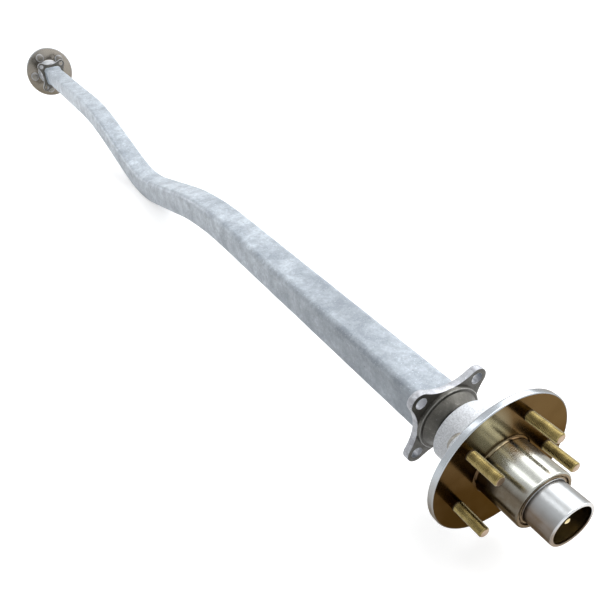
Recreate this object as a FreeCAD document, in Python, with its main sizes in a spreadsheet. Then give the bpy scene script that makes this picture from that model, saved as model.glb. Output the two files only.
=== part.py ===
"""Trailer axle: a cranked square-tube beam with a spindle, brake flange and five-stud hub at each end.

The origin is the middle of the axle on the wheels' spin axis. +Y points to the left hub, +Z is up and
the beam drops towards -Z. Each end piece is drawn in a frame of its own, whose x runs outwards along
the spin axis from the wheel face, and is then set at its end of the axle. Lengths are millimetres.
"""
import FreeCAD, Part
import math
import os

import Sketcher

SIZES = {
    # beam
    "wheel_face_half": 1093.0,
    "tube_width": 50.0,
    "tube_wall": 4.0,
    "tube_corner": 8.0,
    "beam_drop": 75.0,
    "bend_angle": 12.5,
    "middle_bend_radius": 462.0,
    "outer_bend_radius": 1050.0,
    "weld_leg": 4.0,
    # brake mounting flange
    "flange_back": 82.6,
    "flange_thickness": 8.0,
    "flange_hole_offset": 35.2,
    "flange_hole_radius": 6.5,
    "flange_ear_radius": 12.0,
    "flange_side_radius": 57.0,
    "pilot_radius": 38.2,
    "pilot_height": 4.6,
    "pilot_edge": 1.2,
    "pilot_rim": 4.0,
    "flange_cone_front": 59.5,
    "flange_cone_wall": 2.0,
    # spindle
    "shank_gap": 0.2,
    "shank_length": 100.0,
    "collar_step": 2.17,
    "collar_front": 59.0,
    "seal_journal_step": 4.37,
    "seal_journal_back": 57.5,
    "inner_journal_radius": 17.46,
    "inner_journal_length": 20.0,
    "outer_journal_radius": 13.49,
    "outer_journal_length": 18.0,
    "thread_step": 0.79,
    "spindle_past_nut": 7.06,
    "spindle_edge": 1.5,
    "flat_depth": 2.0,
    "grease_bore_radius": 1.6,
    "grease_bore_length": 70.0,
    # hub
    "disc_margin": 24.85,
    "disc_thickness": 7.0,
    "disc_edge": 1.2,
    "barrel_wall": 7.25,
    "barrel_length": 49.0,
    "barrel_edge": 1.4,
    "barrel_root": 1.6,
    "boss_wall": 3.85,
    "boss_length": 53.0,
    "boss_edge": 1.6,
    "boss_root": 5.0,
    "stud_pad_margin": 7.5,
    "stud_pad_height": 8.0,
    "recess_width": 3.45,
    "recess_depth": 2.4,
    # wheel studs
    "stud_count": 5,
    "stud_circle_radius": 57.15,
    "stud_clocking": 66.8,
    "stud_radius": 6.0,
    "stud_reach": 35.0,
    "stud_edge": 1.3,
    "stud_knurl_step": 0.35,
    "stud_head_margin": 4.0,
    "stud_head_thickness": 5.0,
    # bearings
    "inner_cone_wall": 3.44,
    "inner_roller_space": 6.1,
    "inner_cup_wall": 2.57,
    "inner_cup_width": 12.2,
    "inner_cone_width": 16.5,
    "inner_bearing_width": 15.9,
    "inner_cup_shoulder": 5.77,
    "inner_roller_count": 18,
    "outer_cone_wall": 3.01,
    "outer_roller_space": 6.1,
    "outer_cup_wall": 2.55,
    "outer_cup_width": 10.7,
    "outer_cup_setback": 14.8,
    "outer_cone_width": 14.7,
    "outer_bearing_width": 14.2,
    "outer_cup_shoulder": 3.95,
    "outer_roller_count": 15,
    "race_apex_distance": 112.0,
    "roller_length": 9.4,
    "rib_height": 1.3,
    "rib_width": 2.6,
    "cage_wall": 0.8,
    "cage_end": 0.9,
    "window_share": 0.74,
    # seal, cap and grease nipple
    "seal_step": 2.98,
    "seal_width": 6.5,
    "seal_case_wall": 1.2,
    "cap_step": 0.25,
    "cap_wall": 1.5,
    "cap_reach": 29.3,
    "cap_skirt": 9.0,
    "cap_bead_step": 2.05,
    "cap_bead_width": 1.6,
    "cap_mouth_lip": 3.4,
    "nipple_hex": 8.0,
    "nipple_length": 11.0,
    "nipple_head_radius": 3.2,
    "nipple_neck_radius": 2.3,
    # washer, castle nut and split pin
    "washer_margin": 6.8,
    "washer_thickness": 3.2,
    "nut_wall": 6.35,
    "nut_height": 15.0,
    "nut_slot_depth": 6.8,
    "pin_from_nut_face": 3.6,
    "pin_leg_radius": 1.7,
    "pin_eye_radius": 1.2,
    "pin_bend_radius": 2.4,
    "pin_leg_reach": 4.2,
    "pin_play": 0.5,
    # clearances
    "press_gap": 0.02,
    "thread_gap": 0.05,
    "seat_gap": 0.1,
    "roller_gap": 0.3,
    "seal_gap": 0.1,
    "slip_gap": 0.3,
}

SIDES = {"left": 1, "right": -1}
FULL_TURN = 360

doc = FreeCAD.newDocument("TrailerAxle")
sheet = doc.addObject("Spreadsheet::Sheet", "Sizes")
for row, (alias, number) in enumerate(SIZES.items(), start=1):
    sheet.set("A%d" % row, alias)
    sheet.set("B%d" % row, str(number))
    sheet.setAlias("B%d" % row, alias)
doc.recompute()


class Size:
    """A number with the sheet expression that gives it, so that sums of sizes stay bound to the sheet."""

    def __init__(self, value, text):
        self.value = float(value)
        self.text = text

    def __add__(self, other):
        other = as_size(other)
        return Size(self.value + other.value, "(%s + %s)" % (self.text, other.text))

    def __sub__(self, other):
        other = as_size(other)
        return Size(self.value - other.value, "(%s - %s)" % (self.text, other.text))

    def __mul__(self, other):
        other = as_size(other)
        return Size(self.value * other.value, "(%s * %s)" % (self.text, other.text))

    def __truediv__(self, other):
        other = as_size(other)
        return Size(self.value / other.value, "(%s / %s)" % (self.text, other.text))

    def __neg__(self):
        return Size(-self.value, "(0 - %s)" % self.text)


def as_size(number):
    """A plain number as a Size."""
    if isinstance(number, Size):
        return number
    return Size(number, "(%r)" % float(number))


def size(alias):
    """A driving dimension of the sheet."""
    return Size(SIZES[alias], "Sizes." + alias)


def origin_plane(body, role):
    """One of a body's own three planes."""
    for feature in body.Origin.OriginFeatures:
        if feature.Role == role:
            return feature
    raise ValueError(role)


def new_body(label):
    """A body whose label names its file."""
    body = doc.addObject("PartDesign::Body", label)
    body.Label = label
    return body


def set_at_end(piece, side):
    """Turn a piece's x outwards along the spin axis and set its origin on that side's wheel face."""
    quarter_turn = 90
    piece.Placement = FreeCAD.Placement(
        FreeCAD.Vector(0, side * SIZES["wheel_face_half"], 0),
        FreeCAD.Rotation(FreeCAD.Vector(0, 0, 1), side * quarter_turn),
    )
    piece.setExpression("Placement.Base.y", (size("wheel_face_half") * side).text)


def new_sketch(body, name, role, offset=None):
    """A sketch on one of the body's planes, or that far in front of it."""
    sketch = body.newObject("Sketcher::SketchObject", name)
    sketch.AttachmentSupport = [(origin_plane(body, role), "")]
    sketch.MapMode = "FlatFace"
    if offset is not None:
        sketch.AttachmentOffset.Base.z = offset.value
        sketch.setExpression("AttachmentOffset.Base.z", offset.text)
    return sketch


def bind(sketch, constraint, value):
    """Add a dimension and tie it to the sheet."""
    index = sketch.addConstraint(constraint)
    sketch.setExpression("Constraints[%d]" % index, value.text)


def pin_point(sketch, geometry, position, across, up):
    """Hold one point of a sketch at bound coordinates; a zero coordinate lies on that axis."""
    horizontal_axis = -1
    vertical_axis = -2
    root = (-1, 1)
    if across.value == 0:
        sketch.addConstraint(Sketcher.Constraint("PointOnObject", geometry, position, vertical_axis))
    else:
        bind(sketch, Sketcher.Constraint("DistanceX", *root, geometry, position, across.value), across)
    if up.value == 0:
        sketch.addConstraint(Sketcher.Constraint("PointOnObject", geometry, position, horizontal_axis))
    else:
        bind(sketch, Sketcher.Constraint("DistanceY", *root, geometry, position, up.value), up)


def add_polygon(sketch, points):
    """A closed outline of straight lines through bound corners."""
    corners = [(as_size(across), as_size(up)) for across, up in points]
    spots = [FreeCAD.Vector(across.value, up.value, 0) for across, up in corners]
    first = sketch.GeometryCount
    for index, spot in enumerate(spots):
        sketch.addGeometry(Part.LineSegment(spot, spots[(index + 1) % len(spots)]))
    for index in range(len(spots)):
        following = first + (index + 1) % len(spots)
        sketch.addConstraint(Sketcher.Constraint("Coincident", first + index, 2, following, 1))
    for index, (across, up) in enumerate(corners):
        pin_point(sketch, first + index, 1, across, up)


def add_circle(sketch, across, up, radius):
    """A circle at a bound centre."""
    centre = FreeCAD.Vector(as_size(across).value, as_size(up).value, 0)
    index = sketch.addGeometry(Part.Circle(centre, FreeCAD.Vector(0, 0, 1), radius.value))
    pin_point(sketch, index, 3, as_size(across), as_size(up))
    bind(sketch, Sketcher.Constraint("Radius", index, radius.value), radius)


def arc_between(centre, radius, start, end):
    """An arc about a centre, counter-clockwise from one angle to another in radians."""
    circle = Part.Circle(centre, FreeCAD.Vector(0, 0, 1), radius)
    return Part.ArcOfCircle(circle, start, end)


def add_rounded_square(sketch, half, corner):
    """A square outline about the origin with round corners, each side tangent to two of them."""
    quarter = math.pi / 2
    inset = half - corner
    first = sketch.GeometryCount
    signs = ((1, 1), (-1, 1), (-1, -1), (1, -1))
    for index, (across, up) in enumerate(signs):
        centre = FreeCAD.Vector(across * inset.value, up * inset.value, 0)
        sketch.addGeometry(arc_between(centre, corner.value, index * quarter, (index + 1) * quarter))
    for index in range(len(signs)):
        here = sketch.Geometry[first + index].EndPoint
        there = sketch.Geometry[first + (index + 1) % len(signs)].StartPoint
        sketch.addGeometry(Part.LineSegment(here, there))
    for index, (across, up) in enumerate(signs):
        arc = first + index
        side = first + len(signs) + index
        following = first + (index + 1) % len(signs)
        sketch.addConstraint(Sketcher.Constraint("Tangent", arc, 2, side, 1))
        sketch.addConstraint(Sketcher.Constraint("Tangent", side, 2, following, 1))
        pin_point(sketch, arc, 3, inset * across, inset * up)
        bind(sketch, Sketcher.Constraint("Radius", arc, corner.value), corner)


def pad(body, name, sketch, length, taper=None):
    """Raise a sketch along its own normal."""
    feature = body.newObject("PartDesign::Pad", name)
    feature.Profile = sketch
    feature.Length = length.value
    feature.setExpression("Length", length.text)
    if taper is not None:
        feature.TaperAngle = taper
    doc.recompute()
    return feature


def cut_through(body, name, sketch):
    """Cut a sketch right through the body, both ways."""
    feature = body.newObject("PartDesign::Pocket", name)
    feature.Profile = sketch
    feature.Type = "ThroughAll"
    feature.SideType = "Symmetric"
    doc.recompute()
    return feature


def turn(body, name, sketch, cut=False):
    """Revolve a sketch about its own x axis, as metal added or as a groove."""
    kind = "PartDesign::Groove" if cut else "PartDesign::Revolution"
    feature = body.newObject(kind, name)
    feature.Profile = sketch
    feature.ReferenceAxis = (sketch, ["H_Axis"])
    feature.Angle = FULL_TURN
    doc.recompute()
    return feature


def repeat_round(body, name, feature, axis, count):
    """Repeat a feature evenly round one of the body's own axes."""
    pattern = body.newObject("PartDesign::PolarPattern", name)
    pattern.Originals = [feature]
    pattern.Axis = (origin_plane(body, axis), [""])
    pattern.Angle = FULL_TURN
    pattern.Occurrences = round(count.value)
    pattern.setExpression("Occurrences", count.text)
    body.Tip = pattern
    doc.recompute()
    return pattern


def hexagon_corners(flat_radius):
    """The six corners of a hexagon whose flats are this far from its middle."""
    corner = flat_radius / math.cos(math.pi / 6)
    half = corner / 2
    upper = [(corner, 0), (half, flat_radius), (-half, flat_radius)]
    return upper + [(-across, -up) for across, up in upper]


def turned_body(label, points):
    """A body made by one turned profile, given as (along the axis, radius) corners."""
    body = new_body(label)
    sketch = new_sketch(body, label + "_profile", "XY_Plane")
    add_polygon(sketch, points)
    turn(body, label + "_turned", sketch)
    return body


# Radii built up from the journals outwards, so that each piece fits the one inside it.
INNER_JOURNAL = size("inner_journal_radius")
INNER_CONE_RACE = INNER_JOURNAL + size("inner_cone_wall")
INNER_CUP_RACE = INNER_CONE_RACE + size("inner_roller_space")
INNER_CUP_RADIUS = INNER_CUP_RACE + size("inner_cup_wall")
OUTER_JOURNAL = size("outer_journal_radius")
OUTER_CONE_RACE = OUTER_JOURNAL + size("outer_cone_wall")
OUTER_CUP_RACE = OUTER_CONE_RACE + size("outer_roller_space")
OUTER_CUP_RADIUS = OUTER_CUP_RACE + size("outer_cup_wall")
SEAL_JOURNAL = INNER_JOURNAL + size("seal_journal_step")
COLLAR_RADIUS = SEAL_JOURNAL + size("collar_step")
SHANK_RADIUS = size("tube_width") / 2 - size("tube_wall") - size("shank_gap")
SEAL_RADIUS = INNER_CUP_RADIUS + size("seal_step")
BOSS_RADIUS = SEAL_RADIUS + size("boss_wall")
BARREL_RADIUS = OUTER_CUP_RADIUS + size("barrel_wall")
DISC_RADIUS = size("stud_circle_radius") + size("disc_margin")
CAP_RADIUS = OUTER_CUP_RADIUS - size("cap_step")
THREAD_RADIUS = OUTER_JOURNAL - size("thread_step")
NUT_FLAT = THREAD_RADIUS + size("nut_wall")
STUD_KNURL_RADIUS = size("stud_radius") + size("stud_knurl_step")
PIN_HOLE_RADIUS = size("pin_leg_radius") + size("pin_play")

# Places along the spin axis that several pieces share, measured outwards from the wheel face.
INNER_CONE_BACK = size("seal_width") - size("boss_length")
INNER_CUP_BACK = INNER_CONE_BACK + size("inner_bearing_width")
INNER_CUP_THIN = INNER_CUP_BACK - size("inner_cup_width")
OUTER_CUP_THIN = size("barrel_length") - size("outer_cup_setback")
OUTER_CUP_BACK = OUTER_CUP_THIN - size("outer_cup_width")
OUTER_CONE_BACK = OUTER_CUP_BACK + size("outer_bearing_width")
WASHER_BACK = OUTER_CONE_BACK + size("press_gap")
NUT_BACK = WASHER_BACK + size("washer_thickness") + size("press_gap")
NUT_FRONT = NUT_BACK + size("nut_height")
PIN_AXIS = NUT_FRONT - size("pin_from_nut_face")
SPINDLE_FRONT = NUT_FRONT + size("spindle_past_nut")


# Beam: one square tube, straight at both ends and cranked down in the middle by smooth bends.
def beam_path(sketch):
    """Line, arc, line, arc, line, arc, line in the middle plane, every joint tangent."""
    end = size("wheel_face_half") - size("flange_back")
    drop = SIZES["beam_drop"]
    angle = math.radians(SIZES["bend_angle"])
    middle = SIZES["middle_bend_radius"]
    outer = SIZES["outer_bend_radius"]
    slope = (drop - (middle + outer) * (1 - math.cos(angle))) / math.sin(angle)
    middle_half = middle * math.sin(angle)
    outer_start = middle_half + slope * math.cos(angle)
    outer_end = outer_start + outer * math.sin(angle)
    middle_rise = middle * (1 - math.cos(angle)) - drop
    outer_rise = -outer * (1 - math.cos(angle))
    up = math.pi / 2
    slope_ends = [
        FreeCAD.Vector(middle_half, middle_rise, 0),
        FreeCAD.Vector(outer_start, outer_rise, 0),
        FreeCAD.Vector(-middle_half, middle_rise, 0),
        FreeCAD.Vector(-outer_start, outer_rise, 0),
    ]
    pieces = [
        Part.LineSegment(FreeCAD.Vector(end.value, 0, 0), FreeCAD.Vector(outer_end, 0, 0)),
        arc_between(FreeCAD.Vector(outer_end, -outer, 0), outer, up, up + angle),
        Part.LineSegment(slope_ends[0], slope_ends[1]),
        arc_between(FreeCAD.Vector(0, middle - drop, 0), middle, -up - angle, -up + angle),
        Part.LineSegment(slope_ends[2], slope_ends[3]),
        arc_between(FreeCAD.Vector(-outer_end, -outer, 0), outer, up - angle, up),
        Part.LineSegment(FreeCAD.Vector(-outer_end, 0, 0), FreeCAD.Vector(-end.value, 0, 0)),
    ]
    for piece in pieces:
        sketch.addGeometry(piece)
    joints = ((0, 2, 1, 1), (1, 2, 2, 2), (2, 1, 3, 2), (3, 1, 4, 1), (4, 2, 5, 1), (5, 2, 6, 1))
    for joint in joints:
        sketch.addConstraint(Sketcher.Constraint("Tangent", *joint))
    pin_point(sketch, 0, 1, end, as_size(0))
    pin_point(sketch, 6, 2, -end, as_size(0))
    sketch.addConstraint(Sketcher.Constraint("Horizontal", 0))
    sketch.addConstraint(Sketcher.Constraint("Horizontal", 6))
    sketch.addConstraint(Sketcher.Constraint("Equal", 0, 6))
    for arc, radius in ((1, "outer_bend_radius"), (3, "middle_bend_radius"), (5, "outer_bend_radius")):
        bind(sketch, Sketcher.Constraint("Radius", arc, SIZES[radius]), size(radius))
    pin_point(sketch, 3, 3, as_size(0), size("middle_bend_radius") - size("beam_drop"))
    bind(sketch, Sketcher.Constraint("Angle", -1, 2, angle), Size(angle, "Sizes.bend_angle * 1 deg"))


def make_beam():
    """The tube's outer and inner outlines swept along the path."""
    body = new_body("axle_beam")
    path = new_sketch(body, "beam_line", "YZ_Plane")
    beam_path(path)
    end = size("wheel_face_half") - size("flange_back")
    section = new_sketch(body, "beam_section", "XZ_Plane", -end)
    half = size("tube_width") / 2
    add_rounded_square(section, half, size("tube_corner"))
    add_rounded_square(section, half - size("tube_wall"), size("tube_corner") - size("tube_wall"))
    sweep = body.newObject("PartDesign::AdditivePipe", "beam_tube")
    sweep.Profile = section
    sweep.Spine = (path, [])
    doc.recompute()
    return body


def make_weld(side_name, side):
    """The bead round the tube where it meets the back of the flange."""
    body = new_body(side_name + "_flange_weld")
    taper_to_edge = -45
    half = size("tube_width") / 2
    foot = new_sketch(body, "foot", "YZ_Plane", -(size("flange_back") + size("weld_leg")))
    add_rounded_square(foot, half + size("press_gap") * 2, size("tube_corner"))
    pad(body, "bead", foot, size("weld_leg"), -taper_to_edge)
    hole = new_sketch(body, "tube_outline", "YZ_Plane", -size("flange_back"))
    add_rounded_square(hole, half + size("press_gap"), size("tube_corner"))
    cut_through(body, "tube_passage", hole)
    set_at_end(body, side)
    return body


# Brake flange: a four-eared plate with hollowed sides and a turned pilot, welded to the end of the tube.
def flange_outline(sketch):
    """Four ears joined by hollow sides, each side arc tangent to two ears."""
    offset = size("flange_hole_offset")
    ear = size("flange_ear_radius")
    hollow = size("flange_side_radius")
    reach = hollow.value + ear.value
    across = math.asin(offset.value / reach)
    side_centre = offset.value + reach * math.cos(across)
    quarter = math.pi / 2
    for index in range(4):
        turn_to = FreeCAD.Rotation(FreeCAD.Vector(0, 0, 1), math.degrees(index * quarter))
        ear_centre = turn_to.multVec(FreeCAD.Vector(offset.value, offset.value, 0))
        start = index * quarter - across
        sketch.addGeometry(arc_between(ear_centre, ear.value, start, start + quarter + 2 * across))
    for index in range(4):
        turn_to = FreeCAD.Rotation(FreeCAD.Vector(0, 0, 1), math.degrees(index * quarter))
        hollow_centre = turn_to.multVec(FreeCAD.Vector(0, side_centre, 0))
        middle = index * quarter - quarter
        sketch.addGeometry(arc_between(hollow_centre, hollow.value, middle - across, middle + across))
    for index, (right, up) in enumerate(((1, 1), (-1, 1), (-1, -1), (1, -1))):
        hollow_arc = 4 + index
        sketch.addConstraint(Sketcher.Constraint("Tangent", index, 2, hollow_arc, 2))
        sketch.addConstraint(Sketcher.Constraint("Tangent", hollow_arc, 1, (index + 1) % 4, 1))
        pin_point(sketch, index, 3, offset * right, offset * up)
        bind(sketch, Sketcher.Constraint("Radius", index, ear.value), ear)
        bind(sketch, Sketcher.Constraint("Radius", hollow_arc, hollow.value), hollow)


def make_brake_flange(side_name, side):
    """Plate, pilot with the raised cone inside it, spindle hole and the four brake bolt holes."""
    body = new_body(side_name + "_brake_flange")
    back = -size("flange_back")
    front = back + size("flange_thickness")
    outline = new_sketch(body, "ears", "YZ_Plane", back)
    flange_outline(outline)
    pad(body, "plate", outline, size("flange_thickness"))
    pilot = new_sketch(body, "pilot_profile", "XY_Plane")
    root = front - size("pilot_edge")
    add_polygon(pilot, [
        (root, 0),
        (-size("flange_cone_front"), 0),
        (-size("flange_cone_front"), COLLAR_RADIUS + size("flange_cone_wall")),
        (front + size("pilot_height"), size("pilot_radius") - size("pilot_rim")),
        (front + size("pilot_height"), size("pilot_radius") - size("pilot_edge")),
        (front + size("pilot_height") - size("pilot_edge"), size("pilot_radius")),
        (root, size("pilot_radius")),
    ])
    turn(body, "pilot", pilot)
    passage = new_sketch(body, "spindle_hole", "YZ_Plane")
    add_circle(passage, 0, 0, COLLAR_RADIUS + size("press_gap"))
    cut_through(body, "spindle_passage", passage)
    bolt = new_sketch(body, "bolt_hole", "YZ_Plane")
    add_circle(bolt, size("flange_hole_offset"), size("flange_hole_offset"), size("flange_hole_radius"))
    hole = cut_through(body, "bolt_passage", bolt)
    repeat_round(body, "bolt_holes", hole, "X_Axis", as_size(4))
    set_at_end(body, side)
    return body


def make_spindle(side_name, side):
    """A turned stub: shank in the tube, collar in the flange, three journals, thread and grease bore."""
    collar_back = -size("flange_back")
    shoulder = INNER_CONE_BACK - size("press_gap")
    inner_end = shoulder + size("inner_journal_length")
    outer_start = OUTER_CONE_BACK - size("outer_journal_length")
    front = SPINDLE_FRONT
    bore = size("grease_bore_radius")
    thread_start = OUTER_CONE_BACK - size("seat_gap")
    body = turned_body(side_name + "_spindle", [
        (collar_back - size("shank_length"), 0),
        (collar_back - size("shank_length"), SHANK_RADIUS),
        (collar_back, SHANK_RADIUS),
        (collar_back, COLLAR_RADIUS),
        (-size("collar_front"), COLLAR_RADIUS),
        (-size("seal_journal_back"), SEAL_JOURNAL),
        (shoulder, SEAL_JOURNAL),
        (shoulder, INNER_JOURNAL),
        (inner_end, INNER_JOURNAL),
        (outer_start, OUTER_JOURNAL),
        (thread_start, OUTER_JOURNAL),
        (thread_start, THREAD_RADIUS),
        (front - size("spindle_edge"), THREAD_RADIUS),
        (front, THREAD_RADIUS - size("spindle_edge")),
        (front, bore),
        (front - size("grease_bore_length"), bore),
        (front - size("grease_bore_length"), 0),
    ])
    flat = new_sketch(body, "flat_outline", "XY_Plane")
    deep = THREAD_RADIUS - size("flat_depth")
    add_polygon(flat, [
        (thread_start, deep),
        (front + size("spindle_edge"), deep),
        (front + size("spindle_edge"), COLLAR_RADIUS),
        (thread_start, COLLAR_RADIUS),
    ])
    cut_through(body, "washer_flat", flat)
    pin_hole = new_sketch(body, "pin_hole_outline", "XY_Plane")
    add_circle(pin_hole, PIN_AXIS, 0, PIN_HOLE_RADIUS)
    cut_through(body, "pin_hole", pin_hole)
    vent = new_sketch(body, "grease_outlet_outline", "XY_Plane")
    add_circle(vent, (inner_end + outer_start) / 2, 0, bore)
    cut_through(body, "grease_outlet", vent)
    set_at_end(body, side)
    return body


# Hub: one casting, turned outside and bored for the bearings, with five stud holes in its disc.
def make_hub(side_name, side):
    """Boss, disc with a pad behind each stud, and barrel; bores for seal, cups, grease and cap inside."""
    disc = DISC_RADIUS
    inner_shoulder = INNER_CUP_RADIUS - size("inner_cup_shoulder")
    outer_shoulder = OUTER_CUP_RADIUS - size("outer_cup_shoulder")
    disc_back = -size("disc_thickness")
    boss_back = -size("boss_length")
    front = size("barrel_length")
    body = turned_body(side_name + "_hub", [
        (boss_back, SEAL_RADIUS),
        (boss_back, BOSS_RADIUS - size("boss_edge")),
        (boss_back + size("boss_edge"), BOSS_RADIUS),
        (disc_back - size("boss_root"), BOSS_RADIUS),
        (disc_back, BOSS_RADIUS + size("boss_root")),
        (disc_back, disc - size("disc_edge")),
        (disc_back + size("disc_edge"), disc),
        (-size("disc_edge"), disc),
        (as_size(0), disc - size("disc_edge")),
        (as_size(0), BARREL_RADIUS + size("barrel_root")),
        (size("barrel_root"), BARREL_RADIUS),
        (front - size("barrel_edge"), BARREL_RADIUS),
        (front, BARREL_RADIUS - size("barrel_edge")),
        (front, OUTER_CUP_RADIUS + size("recess_width")),
        (front - size("recess_depth"), OUTER_CUP_RADIUS + size("recess_width")),
        (front - size("recess_depth"), OUTER_CUP_RADIUS),
        (OUTER_CUP_BACK, OUTER_CUP_RADIUS),
        (OUTER_CUP_BACK, outer_shoulder),
        (OUTER_CUP_BACK - size("boss_root"), outer_shoulder + size("disc_edge")),
        (INNER_CUP_BACK + size("boss_root"), inner_shoulder),
        (INNER_CUP_BACK, inner_shoulder),
        (INNER_CUP_BACK, INNER_CUP_RADIUS),
        (INNER_CUP_THIN, INNER_CUP_RADIUS),
        (INNER_CUP_THIN, SEAL_RADIUS),
    ])
    clocking = math.radians(SIZES["stud_clocking"])
    circle = size("stud_circle_radius")
    across = Size(circle.value * math.cos(clocking), circle.text + " * cos(Sizes.stud_clocking * 1 deg)")
    upward = Size(circle.value * math.sin(clocking), circle.text + " * sin(Sizes.stud_clocking * 1 deg)")
    pad_outline = new_sketch(body, "stud_pad_outline", "YZ_Plane", disc_back - size("stud_pad_height"))
    add_circle(pad_outline, across, upward, size("stud_radius") + size("stud_pad_margin"))
    stud_pad = pad(body, "stud_pad", pad_outline, size("stud_pad_height") + size("disc_edge"))
    repeat_round(body, "stud_pads", stud_pad, "X_Axis", size("stud_count"))
    outline = new_sketch(body, "stud_hole_outline", "YZ_Plane")
    add_circle(outline, across, upward, STUD_KNURL_RADIUS + size("press_gap"))
    hole = cut_through(body, "stud_hole", outline)
    repeat_round(body, "stud_holes", hole, "X_Axis", size("stud_count"))
    set_at_end(body, side)
    return body


def make_studs(side_name, side):
    """Five pressed-in studs, headed behind the disc, as one group."""
    back = -(size("disc_thickness") + size("stud_pad_height") + size("press_gap"))
    head_back = back - size("stud_head_thickness")
    studs = []
    for index in range(round(SIZES["stud_count"])):
        stud = turned_body("%s_stud_%d" % (side_name, index + 1), [
            (head_back, 0),
            (head_back, size("stud_radius") + size("stud_head_margin") - size("stud_edge")),
            (head_back + size("stud_edge"), size("stud_radius") + size("stud_head_margin")),
            (back, size("stud_radius") + size("stud_head_margin")),
            (back, STUD_KNURL_RADIUS),
            (0, STUD_KNURL_RADIUS),
            (0, size("stud_radius")),
            (size("stud_reach") - size("stud_edge"), size("stud_radius")),
            (size("stud_reach"), size("stud_radius") - size("stud_edge")),
            (size("stud_reach"), 0),
        ])
        angle = "(Sizes.stud_clocking + %d * 360 / Sizes.stud_count) * 1 deg" % index
        stud.setExpression("Placement.Base.y", "Sizes.stud_circle_radius * cos(%s)" % angle)
        stud.setExpression("Placement.Base.z", "Sizes.stud_circle_radius * sin(%s)" % angle)
        studs.append(stud)
    group = doc.addObject("Part::Compound", side_name + "_wheel_studs")
    group.Label = side_name + "_wheel_studs"
    group.Links = studs
    set_at_end(group, side)
    return group


# Tapered roller bearings: both races and the rollers run to one point on the axis, the apex.
class Bearing:
    """The sizes of one bearing; large is +1 where its wide end faces outwards and -1 where it faces in."""

    def __init__(self, name, large, places, radii):
        self.name = name
        self.large = large
        self.cup_back, self.cone_back = places
        self.journal, self.cone_race, self.cup_race, self.cup_radius = radii
        self.cup_width = size(name + "_cup_width")
        self.cone_width = size(name + "_cone_width")
        self.count = size(name + "_roller_count")
        self.middle = self.cone_back - (size("rib_width") + size("roller_length") / 2) * large

    def race_radius(self, middle_radius, along):
        """The radius at a place along the axis of a race that has this radius at the rollers' middle."""
        apex_distance = size("race_apex_distance")
        from_apex = apex_distance + (along - self.middle) * self.large
        return middle_radius * from_apex / apex_distance


INNER_RADII = (INNER_JOURNAL, INNER_CONE_RACE, INNER_CUP_RACE, INNER_CUP_RADIUS)
OUTER_RADII = (OUTER_JOURNAL, OUTER_CONE_RACE, OUTER_CUP_RACE, OUTER_CUP_RADIUS)
BEARINGS = (
    Bearing("inner", -1, (INNER_CUP_BACK, INNER_CONE_BACK), INNER_RADII),
    Bearing("outer", 1, (OUTER_CUP_BACK, OUTER_CONE_BACK), OUTER_RADII),
)


def make_cup(side_name, side, bearing):
    """The outer race, pressed into the hub with its thick end on the shoulder."""
    thin = bearing.cup_back + bearing.cup_width * bearing.large
    outside = bearing.cup_radius - size("press_gap")
    body = turned_body("%s_%s_bearing_cup" % (side_name, bearing.name), [
        (bearing.cup_back, bearing.race_radius(bearing.cup_race, bearing.cup_back)),
        (thin, bearing.race_radius(bearing.cup_race, thin)),
        (thin, outside),
        (bearing.cup_back, outside),
    ])
    set_at_end(body, side)
    return body


def make_cone(side_name, side, bearing):
    """The inner race on the spindle, with a rib at each end that keeps the rollers in place."""
    back = bearing.cone_back
    front = back - bearing.cone_width * bearing.large
    rib_inner = back - size("rib_width") * bearing.large
    roller_end = rib_inner - (size("roller_length") + size("roller_gap") * 2) * bearing.large
    race_wide = bearing.race_radius(bearing.cone_race, rib_inner)
    race_narrow = bearing.race_radius(bearing.cone_race, roller_end)
    bore = bearing.journal + size("seat_gap") / 2
    body = turned_body("%s_%s_bearing_cone" % (side_name, bearing.name), [
        (back, bore),
        (back, race_wide + size("rib_height")),
        (rib_inner, race_wide + size("rib_height")),
        (rib_inner, race_wide),
        (roller_end, race_narrow),
        (roller_end, race_narrow + size("rib_height") / 2),
        (front, race_narrow + size("rib_height") / 2),
        (front, bore),
    ])
    set_at_end(body, side)
    return body


def make_rollers(side_name, side, bearing):
    """The ring of tapered rollers, as separate solids in one group, each with twelve flats round it."""
    flat_count = 12
    gap = SIZES["roller_gap"]
    near = bearing.middle.value - bearing.large * SIZES["roller_length"] / 2
    far = bearing.middle.value + bearing.large * (SIZES["roller_length"] / 2 - gap)
    rings = []
    for along in (near, far):
        inner = bearing.race_radius(bearing.cone_race, as_size(along)).value + gap
        outer = bearing.race_radius(bearing.cup_race, as_size(along)).value - gap
        centre = FreeCAD.Vector(along, 0, (inner + outer) / 2)
        points = []
        for flat in range(flat_count):
            angle = 2 * math.pi * flat / flat_count
            radius = (outer - inner) / 2
            points.append(centre + FreeCAD.Vector(0, radius * math.cos(angle), radius * math.sin(angle)))
        rings.append(Part.makePolygon(points + points[:1]))
    roller = Part.makeLoft(rings, True, True)
    rollers = []
    for index in range(round(bearing.count.value)):
        copy = roller.copy()
        step = index * FULL_TURN / round(bearing.count.value)
        copy.rotate(FreeCAD.Vector(0, 0, 0), FreeCAD.Vector(1, 0, 0), step)
        rollers.append(copy)
    group = doc.addObject("Part::Feature", "%s_%s_bearing_rollers" % (side_name, bearing.name))
    group.Label = "%s_%s_bearing_rollers" % (side_name, bearing.name)
    group.Shape = Part.makeCompound(rollers)
    set_at_end(group, side)
    return group


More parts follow.
